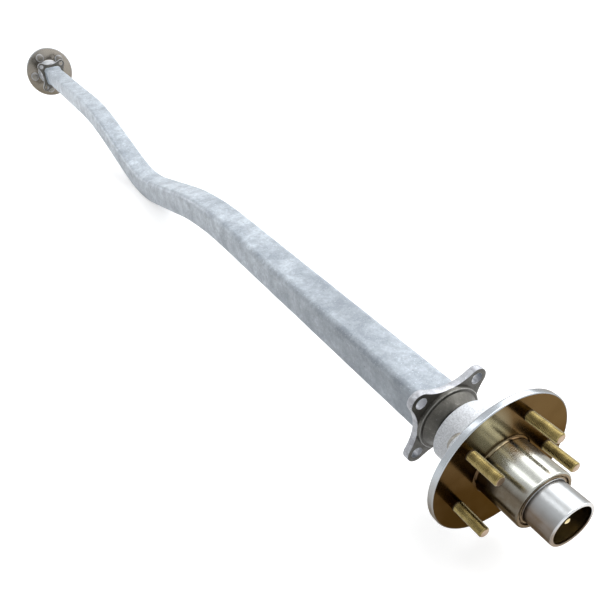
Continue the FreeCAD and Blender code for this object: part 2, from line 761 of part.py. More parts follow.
def make_cage(side_name, side, bearing):
    """The pressed cage: a thin cone with an inturned end and one window for each roller."""
    half = size("roller_length") / 2 + size("cage_end")
    wide = bearing.middle + half * bearing.large
    narrow = bearing.middle - half * bearing.large
    pitch = (bearing.cup_race + bearing.cone_race) / 2 + size("cage_wall") * 1.5
    wide_radius = bearing.race_radius(pitch, wide)
    narrow_radius = bearing.race_radius(pitch, narrow)
    body = turned_body("%s_%s_bearing_cage" % (side_name, bearing.name), [
        (wide, wide_radius - size("cage_wall")),
        (wide, wide_radius),
        (narrow, narrow_radius),
        (narrow, narrow_radius - size("cage_wall")),
    ])
    spacing = bearing.race_radius(pitch, bearing.middle) * (2 * math.pi) / bearing.count
    width = spacing * size("window_share") / 2
    reach = size("roller_length") / 2 + size("roller_gap")
    window = new_sketch(body, "window_outline", "XY_Plane")
    add_polygon(window, [
        (bearing.middle - reach, -width),
        (bearing.middle + reach, -width),
        (bearing.middle + reach, width),
        (bearing.middle - reach, width),
    ])
    cut = body.newObject("PartDesign::Pocket", "window")
    cut.Profile = window
    cut.Type = "ThroughAll"
    cut.Reversed = True
    doc.recompute()
    repeat_round(body, "windows", cut, "X_Axis", bearing.count)
    set_at_end(body, side)
    return body


# Seal, cap, washer, nut, split pin and grease nipple.
def make_seal(side_name, side):
    """A pressed case with a rubber lip that runs on the spindle's journal."""
    back = -size("boss_length")
    front = back + size("seal_width")
    wall = size("seal_case_wall")
    lip = SEAL_JOURNAL + size("seal_gap")
    outside = SEAL_RADIUS - size("press_gap")
    body = turned_body(side_name + "_grease_seal", [
        (back, outside),
        (front, outside),
        (front, outside - wall),
        (back + wall, outside - wall),
        (back + wall, lip + wall * 2),
        (front - wall, lip + wall),
        (front - wall, lip),
        (back, lip + wall),
    ])
    set_at_end(body, side)
    return body


def make_cap(side_name, side):
    """A pressed cap: skirt in the hub bore, a bead that stops it, and an open mouth with a turned-in lip."""
    hub_front = size("barrel_length")
    seat = hub_front - size("recess_depth") + size("press_gap")
    bead_front = seat + size("cap_bead_width")
    mouth = hub_front + size("cap_reach")
    wall = size("cap_wall")
    outside = OUTER_CUP_RADIUS - size("press_gap")
    skirt_end = seat - size("cap_skirt")
    body = turned_body(side_name + "_grease_cap", [
        (skirt_end, outside - wall),
        (skirt_end, outside),
        (seat, outside),
        (seat, OUTER_CUP_RADIUS + size("cap_bead_step")),
        (bead_front, OUTER_CUP_RADIUS + size("cap_bead_step")),
        (bead_front, CAP_RADIUS),
        (mouth - wall / 2, CAP_RADIUS),
        (mouth, CAP_RADIUS - wall / 2),
        (mouth, CAP_RADIUS - size("cap_mouth_lip")),
        (mouth - wall, CAP_RADIUS - size("cap_mouth_lip")),
        (mouth - wall * 2, CAP_RADIUS - wall),
        (bead_front, CAP_RADIUS - wall),
    ])
    set_at_end(body, side)
    return body


def make_washer(side_name, side):
    """A round washer whose hole has a flat, so that it can't turn on the spindle."""
    body = new_body(side_name + "_spindle_washer")
    outline = new_sketch(body, "washer_outline", "YZ_Plane", WASHER_BACK)
    add_circle(outline, 0, 0, THREAD_RADIUS + size("washer_margin"))
    pad(body, "blank", outline, size("washer_thickness"))
    bore = THREAD_RADIUS + size("slip_gap") / 2
    flat = THREAD_RADIUS - size("flat_depth") + size("slip_gap") / 2
    half = math.sqrt(bore.value ** 2 - flat.value ** 2)
    side_angle = math.atan2(half, flat.value)
    hole = new_sketch(body, "keyed_hole", "YZ_Plane", WASHER_BACK)
    hole.addGeometry(arc_between(FreeCAD.Vector(0, 0, 0), bore.value, side_angle, 2 * math.pi - side_angle))
    hole.addGeometry(Part.LineSegment(FreeCAD.Vector(flat.value, -half, 0), FreeCAD.Vector(flat.value, half, 0)))
    hole.addConstraint(Sketcher.Constraint("Coincident", 0, 2, 1, 1))
    hole.addConstraint(Sketcher.Constraint("Coincident", 0, 1, 1, 2))
    hole.addConstraint(Sketcher.Constraint("Coincident", 0, 3, -1, 1))
    hole.addConstraint(Sketcher.Constraint("Vertical", 1))
    bind(hole, Sketcher.Constraint("Radius", 0, bore.value), bore)
    bind(hole, Sketcher.Constraint("DistanceX", -1, 1, 1, 1, flat.value), flat)
    cut_through(body, "keyed_passage", hole)
    set_at_end(body, side)
    return body


def make_nut(side_name, side):
    """A six-sided castle nut, both faces chamfered, with a slot in the middle of each flat."""
    slot_count = 6
    corner = NUT_FLAT / math.cos(math.pi / 6)
    body = new_body(side_name + "_castle_nut")
    hexagon = new_sketch(body, "hexagon", "YZ_Plane", NUT_BACK)
    add_polygon(hexagon, hexagon_corners(NUT_FLAT))
    pad(body, "blank", hexagon, size("nut_height"))
    bevel = corner - NUT_FLAT
    chamfer = new_sketch(body, "corner_bevel", "XY_Plane")
    add_polygon(chamfer, [
        (NUT_FRONT + bevel, NUT_FLAT),
        (NUT_FRONT + bevel, corner * 1.5),
        (NUT_FRONT - bevel, corner * 1.5),
        (NUT_FRONT - bevel / 2, corner),
        (NUT_FRONT, NUT_FLAT),
    ])
    turn(body, "bevelled_corners", chamfer, cut=True)
    bore = new_sketch(body, "bore_outline", "YZ_Plane")
    add_circle(bore, 0, 0, THREAD_RADIUS + size("thread_gap"))
    cut_through(body, "bore", bore)
    slot = new_sketch(body, "slot_outline", "XZ_Plane")
    add_polygon(slot, [
        (NUT_FRONT - size("nut_slot_depth"), THREAD_RADIUS / 2),
        (NUT_FRONT + bevel, THREAD_RADIUS / 2),
        (NUT_FRONT + bevel, corner * 1.5),
        (NUT_FRONT - size("nut_slot_depth"), corner * 1.5),
    ])
    cut = body.newObject("PartDesign::Pocket", "slot")
    cut.Profile = slot
    width = (PIN_HOLE_RADIUS + size("pin_play") / 2) * 2
    cut.Length = width.value
    cut.setExpression("Length", width.text)
    cut.SideType = "Symmetric"
    doc.recompute()
    repeat_round(body, "slots", cut, "X_Axis", as_size(slot_count))
    set_at_end(body, side)
    return body


def make_split_pin(side_name, side):
    """A half-round wire folded to an eye and two legs, put through nut and spindle and bent open."""
    wire = SIZES["pin_leg_radius"]
    eye = SIZES["pin_eye_radius"]
    bend = SIZES["pin_bend_radius"]
    part_line = SIZES["thread_gap"]
    along = PIN_AXIS.value
    nut_flat = NUT_FLAT.value
    eye_height = nut_flat + wire / 2
    neck = math.sqrt((eye + bend) ** 2 - (part_line + bend) ** 2)
    neck_angle = math.atan2(neck, part_line + bend)
    leg_top = eye_height - neck
    leg_bottom = -nut_flat - wire - SIZES["slip_gap"] + bend

    def point(across, up):
        return FreeCAD.Vector(along + across, 0, up)

    def turn_round(centre_across, centre_up, radius, start, end):
        spots = []
        for share in (0, 0.5, 1):
            angle = start + share * (end - start)
            spots.append(point(centre_across + radius * math.cos(angle), centre_up + radius * math.sin(angle)))
        return Part.Arc(*spots).toShape()

    half_turn = math.pi
    quarter = math.pi / 2
    out = part_line + bend
    tip = out + SIZES["pin_leg_reach"]
    foot = leg_bottom - bend
    path = Part.Wire([
        Part.makeLine(point(tip, foot), point(out, foot)),
        turn_round(out, leg_bottom, bend, -quarter, -half_turn),
        Part.makeLine(point(part_line, leg_bottom), point(part_line, leg_top)),
        turn_round(out, leg_top, bend, half_turn, half_turn - neck_angle),
        turn_round(0, eye_height, eye, -neck_angle, half_turn + neck_angle),
        turn_round(-out, leg_top, bend, neck_angle, 0),
        Part.makeLine(point(-part_line, leg_top), point(-part_line, leg_bottom)),
        turn_round(-out, leg_bottom, bend, 0, -quarter),
        Part.makeLine(point(-out, foot), point(-tip, foot)),
    ])
    corners = [point(tip, foot) + FreeCAD.Vector(0, -wire, 0), point(tip, foot) + FreeCAD.Vector(0, wire, 0)]
    crown = point(tip, foot + wire)
    half_round = Part.Wire([
        Part.Arc(corners[0], crown, corners[1]).toShape(),
        Part.makeLine(corners[1], corners[0]),
    ])
    group = doc.addObject("Part::Feature", side_name + "_split_pin")
    group.Label = side_name + "_split_pin"
    group.Shape = path.makePipeShell([half_round], True, False)
    set_at_end(group, side)
    return group


def make_nipple(side_name, side):
    """A grease nipple screwed into the end of the spindle."""
    face = SPINDLE_FRONT + size("press_gap")
    hexagon_front = face + size("nipple_length") / 3
    tip = face + size("nipple_length")
    stem = size("grease_bore_radius") - size("press_gap")
    neck = size("nipple_neck_radius")
    head = size("nipple_head_radius")
    rise = head - neck
    body = turned_body(side_name + "_grease_nipple", [
        (face - size("nipple_length") / 2, 0),
        (face - size("nipple_length") / 2, stem),
        (face, stem),
        (face, head),
        (hexagon_front, head),
        (hexagon_front + rise, neck),
        (tip - head * 1.5, neck),
        (tip - head, head),
        (tip - rise, head),
        (tip, neck / 2),
        (tip, 0),
    ])
    hexagon = new_sketch(body, "spanner_flats", "YZ_Plane", face)
    add_polygon(hexagon, hexagon_corners(size("nipple_hex") / 2))
    pad(body, "hexagon", hexagon, size("nipple_length") / 3)
    set_at_end(body, side)
    return body


nodes = [make_beam()]
for side_name, side in SIDES.items():
    nodes.append(make_brake_flange(side_name, side))
    nodes.append(make_weld(side_name, side))
    nodes.append(make_spindle(side_name, side))
    nodes.append(make_hub(side_name, side))
    nodes.append(make_studs(side_name, side))
    for bearing in BEARINGS:
        nodes.append(make_cup(side_name, side, bearing))
        nodes.append(make_cone(side_name, side, bearing))
        nodes.append(make_rollers(side_name, side, bearing))
        nodes.append(make_cage(side_name, side, bearing))
    nodes.append(make_seal(side_name, side))
    nodes.append(make_washer(side_name, side))
    nodes.append(make_nut(side_name, side))
    nodes.append(make_split_pin(side_name, side))
    nodes.append(make_nipple(side_name, side))
    nodes.append(make_cap(side_name, side))
doc.recompute()

for item in doc.Objects:
    if "Invalid" in item.State or "Error" in item.State:
        raise RuntimeError("%s failed: %s" % (item.Name, item.State))
os.makedirs("parts", exist_ok=True)
for node in nodes:
    shape = node.Shape
    if shape.isNull() or not shape.isValid():
        raise RuntimeError("%s has no sound shape" % node.Label)
    print(node.Label, len(shape.Solids), round(shape.Volume, 1))
    shape.exportStep("parts/%s.step" % node.Label)
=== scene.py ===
import math

import bmesh
import bpy
import numpy as np
from mathutils import Matrix, Vector


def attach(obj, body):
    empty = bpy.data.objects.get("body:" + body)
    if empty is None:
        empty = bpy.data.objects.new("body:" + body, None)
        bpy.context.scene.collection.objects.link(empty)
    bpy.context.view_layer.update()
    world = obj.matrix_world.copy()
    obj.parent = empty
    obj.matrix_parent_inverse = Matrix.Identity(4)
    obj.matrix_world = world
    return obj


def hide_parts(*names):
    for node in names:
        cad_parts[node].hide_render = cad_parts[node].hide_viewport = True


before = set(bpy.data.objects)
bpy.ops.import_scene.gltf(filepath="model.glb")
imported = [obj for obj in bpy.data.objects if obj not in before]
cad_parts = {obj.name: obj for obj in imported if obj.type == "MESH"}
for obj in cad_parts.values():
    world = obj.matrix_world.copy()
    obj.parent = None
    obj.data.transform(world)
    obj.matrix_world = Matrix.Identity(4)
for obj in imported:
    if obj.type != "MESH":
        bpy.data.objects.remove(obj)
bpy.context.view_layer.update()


# Square tube beam: a 50 mm welded box section, bent cold in two smooth cranks and dipped in molten zinc,
# so that its faces are mottled and slightly uneven. Its ends butt against the brake flanges.
MM = 0.001
WHEEL_FACE = 1093.0
FLANGE_BACK = 82.6
TUBE_HALF = 25.0
TUBE_CORNER = 8.0
TUBE_WALL = 4.0
DROP = 75.0
BEND = math.radians(12.5)
MIDDLE_RADIUS = 462.0
OUTER_RADIUS = 1050.0


def sheet_faces(rows, columns, first, close_rows, close_columns):
    """Quads of a grid of points: each joins a point to the next in its row and to the row after."""
    row_count = rows if close_rows else rows - 1
    column_count = columns if close_columns else columns - 1
    i, j = np.meshgrid(np.arange(row_count), np.arange(column_count), indexing="ij")
    along = (i + 1) % rows
    across = (j + 1) % columns
    corners = (i * columns + j, i * columns + across, along * columns + across, along * columns + j)
    return np.stack(corners, axis=-1).reshape(-1, 4) + first


def skin(name, sheets, finishes, body, replaced):
    """A mesh from grids of points in millimetres, each given as (points, close rows, close columns, finishes of
    its faces). Doubles are merged, faces turned outwards, and the piece is set on its body of the frame."""
    points, faces, zones = [], [], []
    first = 0
    for grid, close_rows, close_columns, zone in sheets:
        rows, columns = grid.shape[:2]
        quads = sheet_faces(rows, columns, first, close_rows, close_columns)
        points.append(grid.reshape(-1, 3))
        faces.append(quads)
        zones.append(np.full(len(quads), zone) if np.isscalar(zone) else np.asarray(zone).reshape(-1))
        first += rows * columns
    mesh = bpy.data.meshes.new(name)
    mesh.from_pydata(np.concatenate(points) * MM, [], np.concatenate(faces).tolist())
    mesh.polygons.foreach_set("material_index", np.concatenate(zones).astype(np.int32))
    for finish in finishes:
        mesh.materials.append(finish)
    solid = bmesh.new()
    solid.from_mesh(mesh)
    bmesh.ops.remove_doubles(solid, verts=solid.verts, dist=2e-6)
    bmesh.ops.recalc_face_normals(solid, faces=solid.faces)
    solid.to_mesh(mesh)
    solid.free()
    mesh.polygons.foreach_set("use_smooth", [True] * len(mesh.polygons))
    piece = bpy.data.objects.new(name, mesh)
    bpy.context.scene.collection.objects.link(piece)
    weighted = piece.modifiers.new("even_shading", "WEIGHTED_NORMAL")
    weighted.weight = 60
    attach(piece, body)
    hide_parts(*replaced)
    return piece


def rounded_square(half, corner, steps):
    """Points round a square with round corners, and the outward direction at each."""
    angle = np.linspace(0, math.pi / 2, steps)
    quarter_points, quarter_normals = [], []
    for quarter in range(4):
        turn = quarter * math.pi / 2
        middle = turn + math.pi / 4
        centre = (half - corner) * math.sqrt(2) * np.array([math.cos(middle), math.sin(middle)])
        normal = np.stack([np.cos(angle + turn), np.sin(angle + turn)], axis=1)
        quarter_points.append(centre + corner * normal)
        quarter_normals.append(normal)
    points = np.concatenate(quarter_points)
    normals = np.concatenate(quarter_normals)
    return points, normals


def filled_in(points, normals, spacing):
    """The same closed outline with extra points on its long straight sides."""
    after = np.roll(points, -1, axis=0)
    out_points, out_normals = [], []
    for here, there, normal, next_normal in zip(points, after, normals, np.roll(normals, -1, axis=0)):
        count = max(1, int(np.linalg.norm(there - here) / spacing))
        share = np.arange(count)[:, None] / count
        out_points.append(here + share * (there - here))
        out_normals.append(normal + share * (next_normal - normal))
    return np.concatenate(out_points), np.concatenate(out_normals)


def beam_line(places):
    """Height of the beam's centre line at each place along the axle, and the angle of its slope. Four
    stretches: middle bend, straight slope, outer bend, straight end."""
    reach = np.abs(places)
    middle_end = MIDDLE_RADIUS * math.sin(BEND)
    fall = (MIDDLE_RADIUS + OUTER_RADIUS) * (1 - math.cos(BEND))
    slope_end = middle_end + (DROP - fall) / math.tan(BEND)
    bend_end = slope_end + OUTER_RADIUS * math.sin(BEND)
    in_middle = np.clip(reach / MIDDLE_RADIUS, 0, math.sin(BEND))
    in_outer = np.clip((bend_end - reach) / OUTER_RADIUS, 0, math.sin(BEND))
    height = -DROP + MIDDLE_RADIUS * (1 - np.sqrt(1 - in_middle**2))
    slope_run = np.clip(reach, middle_end, slope_end) - middle_end
    height = height + slope_run * math.tan(BEND)
    outer_height = -OUTER_RADIUS * (1 - np.sqrt(1 - in_outer**2))
    height = np.where(reach > slope_end, outer_height, height)
    angle = np.where(reach < slope_end, np.arcsin(in_middle), np.arcsin(in_outer))
    return height, angle * np.sign(places)


def beam_surface(outline, normals, unevenness):
    """The outline carried along the beam's line. It stands square to the line, and low waves of a tenth of a
    millimetre, sums of sines along and around, lift it along its normals."""
    end = WHEEL_FACE - FLANGE_BACK
    fade = 15.0
    places = np.linspace(-end, end, 401)
    height, angle = beam_line(places)
    around = np.arange(len(outline)) / len(outline) * 2 * math.pi
    wave = np.sin(places[:, None] / 23 + 3 * around) * np.sin(places[:, None] / 61 - 2 * around)
    wave = wave + 0.6 * np.sin(places[:, None] / 9.1 + 5 * around + np.sin(places[:, None] / 37))
    lift = unevenness * wave * np.clip((end - np.abs(places)) / fade, 0, 1)[:, None]
    across = outline[:, 0] + lift * normals[:, 0]
    upward = outline[:, 1] + lift * normals[:, 1]
    y = places[:, None] - upward * np.sin(angle)[:, None]
    z = height[:, None] + upward * np.cos(angle)[:, None]
    return np.stack([across, y, z], axis=-1)


def shader(name, metallic, roughness):
    """A material with one surface shader, and the functions that add nodes and join them."""
    finish = bpy.data.materials.new(name)
    finish.use_nodes = True
    tree = finish.node_tree
    surface = tree.nodes["Principled BSDF"]
    surface.inputs["Metallic"].default_value = metallic
    surface.inputs["Roughness"].default_value = roughness
    return finish, tree, surface


def noise(tree, scale, detail=4.0, stretch=(1, 1, 1), rough=0.55):
    """Noise on the piece's own coordinates, given in waves a metre and stretched along the axes."""
    place = tree.nodes.new("ShaderNodeTexCoord")
    mapping = tree.nodes.new("ShaderNodeMapping")
    mapping.inputs["Scale"].default_value = stretch
    pattern = tree.nodes.new("ShaderNodeTexNoise")
    pattern.inputs["Scale"].default_value = scale
    pattern.inputs["Detail"].default_value = detail
    pattern.inputs["Roughness"].default_value = rough
    tree.links.new(place.outputs["Object"], mapping.inputs["Vector"])
    tree.links.new(mapping.outputs["Vector"], pattern.inputs["Vector"])
    return pattern.outputs["Fac"]


def spread(tree, value, low, high, to_low, to_high):
    """A value's range stretched to another range, held at its ends."""
    node = tree.nodes.new("ShaderNodeMapRange")
    for socket, number in (("From Min", low), ("From Max", high), ("To Min", to_low), ("To Max", to_high)):
        node.inputs[socket].default_value = number
    tree.links.new(value, node.inputs["Value"])
    return node.outputs["Result"]


def blend(tree, share, first, second):
    """One colour passing into another; either may be a colour or a socket."""
    node = tree.nodes.new("ShaderNodeMix")
    node.data_type = "RGBA"
    factor, start, end = node.inputs[0], node.inputs[6], node.inputs[7]
    tree.links.new(share, factor)
    for socket, colour in ((start, first), (end, second)):
        if isinstance(colour, tuple):
            socket.default_value = (*colour, 1)
        else:
            tree.links.new(colour, socket)
    return node.outputs[2]


def relief(tree, surface, height, depth, strength=1.0, under=None):
    """Bumps of that depth in metres on the surface, over another relief if one is given."""
    node = tree.nodes.new("ShaderNodeBump")
    node.inputs["Distance"].default_value = depth
    node.inputs["Strength"].default_value = strength
    tree.links.new(height, node.inputs["Height"])
    if under is not None:
        tree.links.new(under, node.inputs["Normal"])
    tree.links.new(node.outputs["Normal"], surface.inputs["Normal"])
    return node.outputs["Normal"]


def zinc_coat(name, pale, dull, roughness, cloud, metallic, duller_span=None):
    """Hot-dip zinc: pale and dull clouds, fine mottling, small white spots and a few dark specks. Towards one end,
    from one place along the axle in metres to another, it is duller in patches."""
    finish, tree, surface = shader(name, metallic, roughness)
    clouds = spread(tree, noise(tree, cloud, 6.0, rough=0.62), 0.36, 0.64, 0, 1)
    colour = blend(tree, clouds, dull, pale)
    mottles = spread(tree, noise(tree, 190, 5.0, rough=0.7), 0.4, 0.62, 0, 0.55)
    colour = blend(tree, mottles, colour, tuple(0.84 * part for part in dull))
    spots = spread(tree, noise(tree, 520, 2.0), 0.6, 0.7, 0, 0.8)
    colour = blend(tree, spots, colour, tuple(min(1.0, 1.25 * part) for part in pale))
    specks = spread(tree, noise(tree, 330, 1.0), 0.735, 0.77, 0, 0.7)
    colour = blend(tree, specks, colour, (0.16, 0.16, 0.17))
    if duller_span:
        place = tree.nodes.new("ShaderNodeTexCoord")
        parts = tree.nodes.new("ShaderNodeSeparateXYZ")
        tree.links.new(place.outputs["Object"], parts.inputs["Vector"])
        patches = tree.nodes.new("ShaderNodeMath")
        patches.operation = "MULTIPLY"
        tree.links.new(spread(tree, parts.outputs["Y"], *duller_span, 0, 1), patches.inputs[0])
        tree.links.new(spread(tree, noise(tree, 22, 5.0, (1, 0.35, 1)), 0.35, 0.6, 0.1, 0.75), patches.inputs[1])
        colour = blend(tree, patches.outputs[0], colour, tuple(0.6 * part for part in dull))
    tree.links.new(colour, surface.inputs["Base Color"])
    gloss = spread(tree, noise(tree, 120, 5.0), 0.35, 0.65, roughness - 0.1, roughness + 0.14)
    tree.links.new(gloss, surface.inputs["Roughness"])
    broad = relief(tree, surface, noise(tree, 90, 4.0), 0.0005, 0.5)
    relief(tree, surface, noise(tree, 700, 3.0), 0.00018, 0.6, broad)
    return finish


outline, outward = filled_in(*rounded_square(TUBE_HALF, TUBE_CORNER, 9), 5.0)
inner_outline, inner_normals = filled_in(*rounded_square(TUBE_HALF - TUBE_WALL, TUBE_CORNER - TUBE_WALL, 9), 5.0)
tube_outside = beam_surface(outline, outward, 0.1)
zinc = zinc_coat("tube_zinc", (0.62, 0.685, 0.75), (0.33, 0.375, 0.43), 0.42, 34, 0.2, (0.62, 0.95))


def end_ring(outer, inner):
    """The flat rim between two outlines with as many points each, as a two-row grid."""
    return np.stack([outer, inner])


def resampled(points, count):
    """A closed outline given that many points, evenly by angle round its middle."""
    angle = np.unwrap(np.arctan2(points[:, 1], points[:, 0]))
    wanted = angle[0] + np.arange(count) / count * 2 * math.pi
    looped = np.concatenate([angle, [angle[0] + 2 * math.pi]])
    looped_points = np.concatenate([points, points[:1]])
    return np.stack([np.interp(wanted, looped, looped_points[:, k]) for k in (0, 1)], axis=1)


inner_outline = resampled(inner_outline, len(outline))
tube_inside = beam_surface(inner_outline, inner_outline / TUBE_HALF, 0.0)
skin(
    "beam_tube",
    [
        (tube_outside, False, True, 0),
        (tube_inside, False, True, 0),
        (end_ring(tube_outside[0], tube_inside[0]), False, True, 0),
        (end_ring(tube_outside[-1], tube_inside[-1]), False, True, 0),
    ],
    [zinc],
    "axle",
    ["axle_beam"],
)


# Brake flanges: a four-eared plate cut from 8 mm steel with hollowed sides, and a turned pilot on its outer
# face that centres the brake's backing plate. Each is welded to the end of the tube and zinc coated with it.
SIDES = {"left": 1, "right": -1}
FLANGE_THICKNESS = 8.0
HOLE_OFFSET = 35.2
HOLE_RADIUS = 6.5
EAR_RADIUS = 12.0
HOLLOW_RADIUS = 57.0
PILOT_RADIUS = 38.2
COLLAR_RADIUS = 24.0


def at_end(side, along, across, upward):
    """Points of an end piece: outwards from the wheel face along the spin axis, across it, and up. The right
    end is the left one turned half round."""
    return np.stack([-side * across, side * (WHEEL_FACE + along), upward + 0 * across], axis=-1)


def ears_outline(steps):
    """Four ear arcs joined by four hollow arcs that they meet tangentially."""
    reach = HOLLOW_RADIUS + EAR_RADIUS
    half = math.asin(HOLE_OFFSET / reach)
    centre_far = HOLE_OFFSET + reach * math.cos(half)
    parts = []
    for quarter in range(4):
        turn = quarter * math.pi / 2
        ear_middle = HOLE_OFFSET * math.sqrt(2) * np.array([math.cos(turn + math.pi / 4), math.sin(turn + math.pi / 4)])
        angle = np.linspace(turn - half, turn + math.pi / 2 + half, steps)
        parts.append(ear_middle + EAR_RADIUS * np.stack([np.cos(angle), np.sin(angle)], axis=1))
        beyond = turn + math.pi / 2
        hollow_middle = centre_far * np.array([math.cos(beyond), math.sin(beyond)])
        angle = np.linspace(beyond + math.pi + half, beyond + math.pi - half, steps)[1:-1]
        parts.append(hollow_middle + HOLLOW_RADIUS * np.stack([np.cos(angle), np.sin(angle)], axis=1))
    return np.concatenate(parts)


def ring_outline(across, upward, radius, steps):
    """Points round a circle."""
    angle = np.arange(steps) / steps * 2 * math.pi
    return np.stack([across + radius * np.cos(angle), upward + radius * np.sin(angle)], axis=1)


def cut_plate(name, outlines, low, high, edge):
    """A plate with rounded edges from a filled flat curve of an outline and its holes, as a mesh whose points
    are across, up and along."""
    curve = bpy.data.curves.new(name, "CURVE")
    curve.dimensions = "2D"
    curve.fill_mode = "BOTH"
    curve.extrude = ((high - low) / 2 - edge) * MM
    curve.bevel_depth = edge * MM
    curve.bevel_resolution = 2
    curve.offset = -edge * MM
    for outline_points in outlines:
        spline = curve.splines.new("POLY")
        spline.points.add(len(outline_points) - 1)
        flat = np.zeros((len(outline_points), 4))
        flat[:, :2] = outline_points * MM
        flat[:, 3] = 1
        spline.points.foreach_set("co", flat.ravel())
        spline.use_cyclic_u = True
    holder = bpy.data.objects.new(name, curve)
    bpy.context.scene.collection.objects.link(holder)
    mesh = bpy.data.meshes.new_from_object(holder.evaluated_get(bpy.context.evaluated_depsgraph_get()))
    bpy.data.objects.remove(holder)
    mesh.transform(Matrix.Translation((0, 0, (low + high) / 2 * MM)))
    return mesh


def seated(name, mesh, finishes, side, body, replaced):
    """A mesh drawn as across, up and along, stood at its end of the axle and set on its body. Its flat sides
    get the first finish and its edges and hole walls the second."""
    coordinates = np.zeros(len(mesh.vertices) * 3)
    mesh.vertices.foreach_get("co", coordinates)
    across, upward, along = coordinates.reshape(-1, 3).T / MM
    mesh.vertices.foreach_set("co", (at_end(side, along, across, upward) * MM).ravel())
    mesh.materials.clear()
    for finish in finishes:
        mesh.materials.append(finish)
    solid = bmesh.new()
    solid.from_mesh(mesh)
    bmesh.ops.remove_doubles(solid, verts=solid.verts, dist=2e-6)
    bmesh.ops.recalc_face_normals(solid, faces=solid.faces)
    solid.to_mesh(mesh)
    solid.free()
    facing = np.zeros(len(mesh.polygons) * 3)
    mesh.polygons.foreach_get("normal", facing)
    on_edge = np.abs(facing.reshape(-1, 3)[:, 1]) < 0.8
    mesh.polygons.foreach_set("material_index", on_edge.astype(np.int32))
    piece = bpy.data.objects.new(name, mesh)
    bpy.context.scene.collection.objects.link(piece)
    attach(piece, body)
    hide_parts(*replaced)
    return piece


def softened(corners, radius, steps=4):
    """A closed outline with each corner rounded: a curve from a point before it to one after it, whose shape
    is the quadratic blend of those two and the corner."""
    corners = np.asarray(corners, float)
    radii = np.broadcast_to(np.asarray(radius, float), len(corners))
    before = np.roll(corners, 1, axis=0)
    after = np.roll(corners, -1, axis=0)
    share = np.linspace(0, 1, steps)[:, None]
    rounded = []
    for corner, previous, following, reach in zip(corners, before, after, radii):
        back = previous - corner
        forth = following - corner
        reach_back = min(reach, 0.45 * np.linalg.norm(back))
        reach_forth = min(reach, 0.45 * np.linalg.norm(forth))
        start = corner + back / np.linalg.norm(back) * reach_back
        end = corner + forth / np.linalg.norm(forth) * reach_forth
        rounded.append((1 - share) ** 2 * start + 2 * share * (1 - share) * corner + share**2 * end)
    return np.concatenate(rounded)


def turned(profile, side, segments=128, axis_across=0.0, axis_up=0.0):
    """A closed (along, radius) outline carried round the spin axis or one beside it: rows go round, columns
    along it."""
    angle = np.arange(segments) / segments * 2 * math.pi
    along = np.broadcast_to(profile[:, 0], (segments, len(profile)))
    across = axis_across + profile[:, 1] * np.cos(angle)[:, None]
    upward = axis_up + profile[:, 1] * np.sin(angle)[:, None]
    return at_end(side, along, across, upward)


def zones_of(profile, segments, choose):
    """The finish of each face of a turned piece, chosen from the middle of its stretch of outline."""
    middle = (profile + np.roll(profile, -1, axis=0)) / 2
    chosen = choose(middle[:, 0], middle[:, 1])
    return np.broadcast_to(chosen, (segments, len(profile)))


# One flange zinc in two copies: darkened on the flat faces as painted shade, paled on the edges and hole walls as
# painted light.
painted_shade_plate = zinc_coat("flange_painted_shade", (0.13, 0.126, 0.112), (0.075, 0.072, 0.063), 0.4, 60, 0.5)
painted_light_edges = zinc_coat("flange_edges_painted_light", (0.56, 0.58, 0.62), (0.34, 0.35, 0.38), 0.4, 80, 0.4)
# The pilot's chamfer is paler than its face: a painted highlight.
pilot_painted_highlight = zinc_coat("pilot_chamfer_painted_highlight", (0.27, 0.27, 0.26), (0.17, 0.17, 0.16), 0.35, 80, 0.6)
plate_front = -FLANGE_BACK + FLANGE_THICKNESS
plate_outlines = [ears_outline(20), ring_outline(0, 0, COLLAR_RADIUS + 0.02, 96)]
for across, upward in ((1, 1), (-1, 1), (-1, -1), (1, -1)):
    plate_outlines.append(ring_outline(across * HOLE_OFFSET, upward * HOLE_OFFSET, HOLE_RADIUS, 32))
pilot_profile = softened(
    [
        (plate_front + 0.02, COLLAR_RADIUS + 0.02),
        (-59.5, COLLAR_RADIUS + 0.02),
        (-59.5, COLLAR_RADIUS + 2.0),
        (plate_front + 4.6, PILOT_RADIUS - 4.0),
        (plate_front + 4.6, PILOT_RADIUS - 1.2),
        (plate_front + 3.4, PILOT_RADIUS),
        (plate_front + 0.02, PILOT_RADIUS),
    ],
    0.3,
)


def choose_pilot_zone(along, radius):
    """0 zinc darkened as painted shade, 1 the chamfer at the pilot's rim, paler as a painted highlight."""
    return np.where((radius > PILOT_RADIUS - 1.05) & (along > plate_front + 3.9), 1, 0)


for side_name, side in SIDES.items():
    plate = cut_plate(side_name + "_flange_plate", plate_outlines, -FLANGE_BACK, plate_front, 0.7)
    # Flat faces take the painted-shade zinc, edges and hole walls the painted-light zinc.
    finishes = [painted_shade_plate, painted_light_edges]
    seated(side_name + "_flange_plate", plate, finishes, side, "axle", [side_name + "_brake_flange"])
    skin(
        side_name + "_flange_pilot",
        [(turned(pilot_profile, side), True, True, zones_of(pilot_profile, 128, choose_pilot_zone))],
        [painted_shade_plate, pilot_painted_highlight],
        "axle",
        [side_name + "_brake_flange"],
    )


# Weld beads: one run of weld round the tube at the back of each flange, with the overlapping ripples that
# the pool leaves as it is drawn round, zinc coated like the rest.
WELD_LEG = 4.0
RIPPLE_PITCH = 2.2


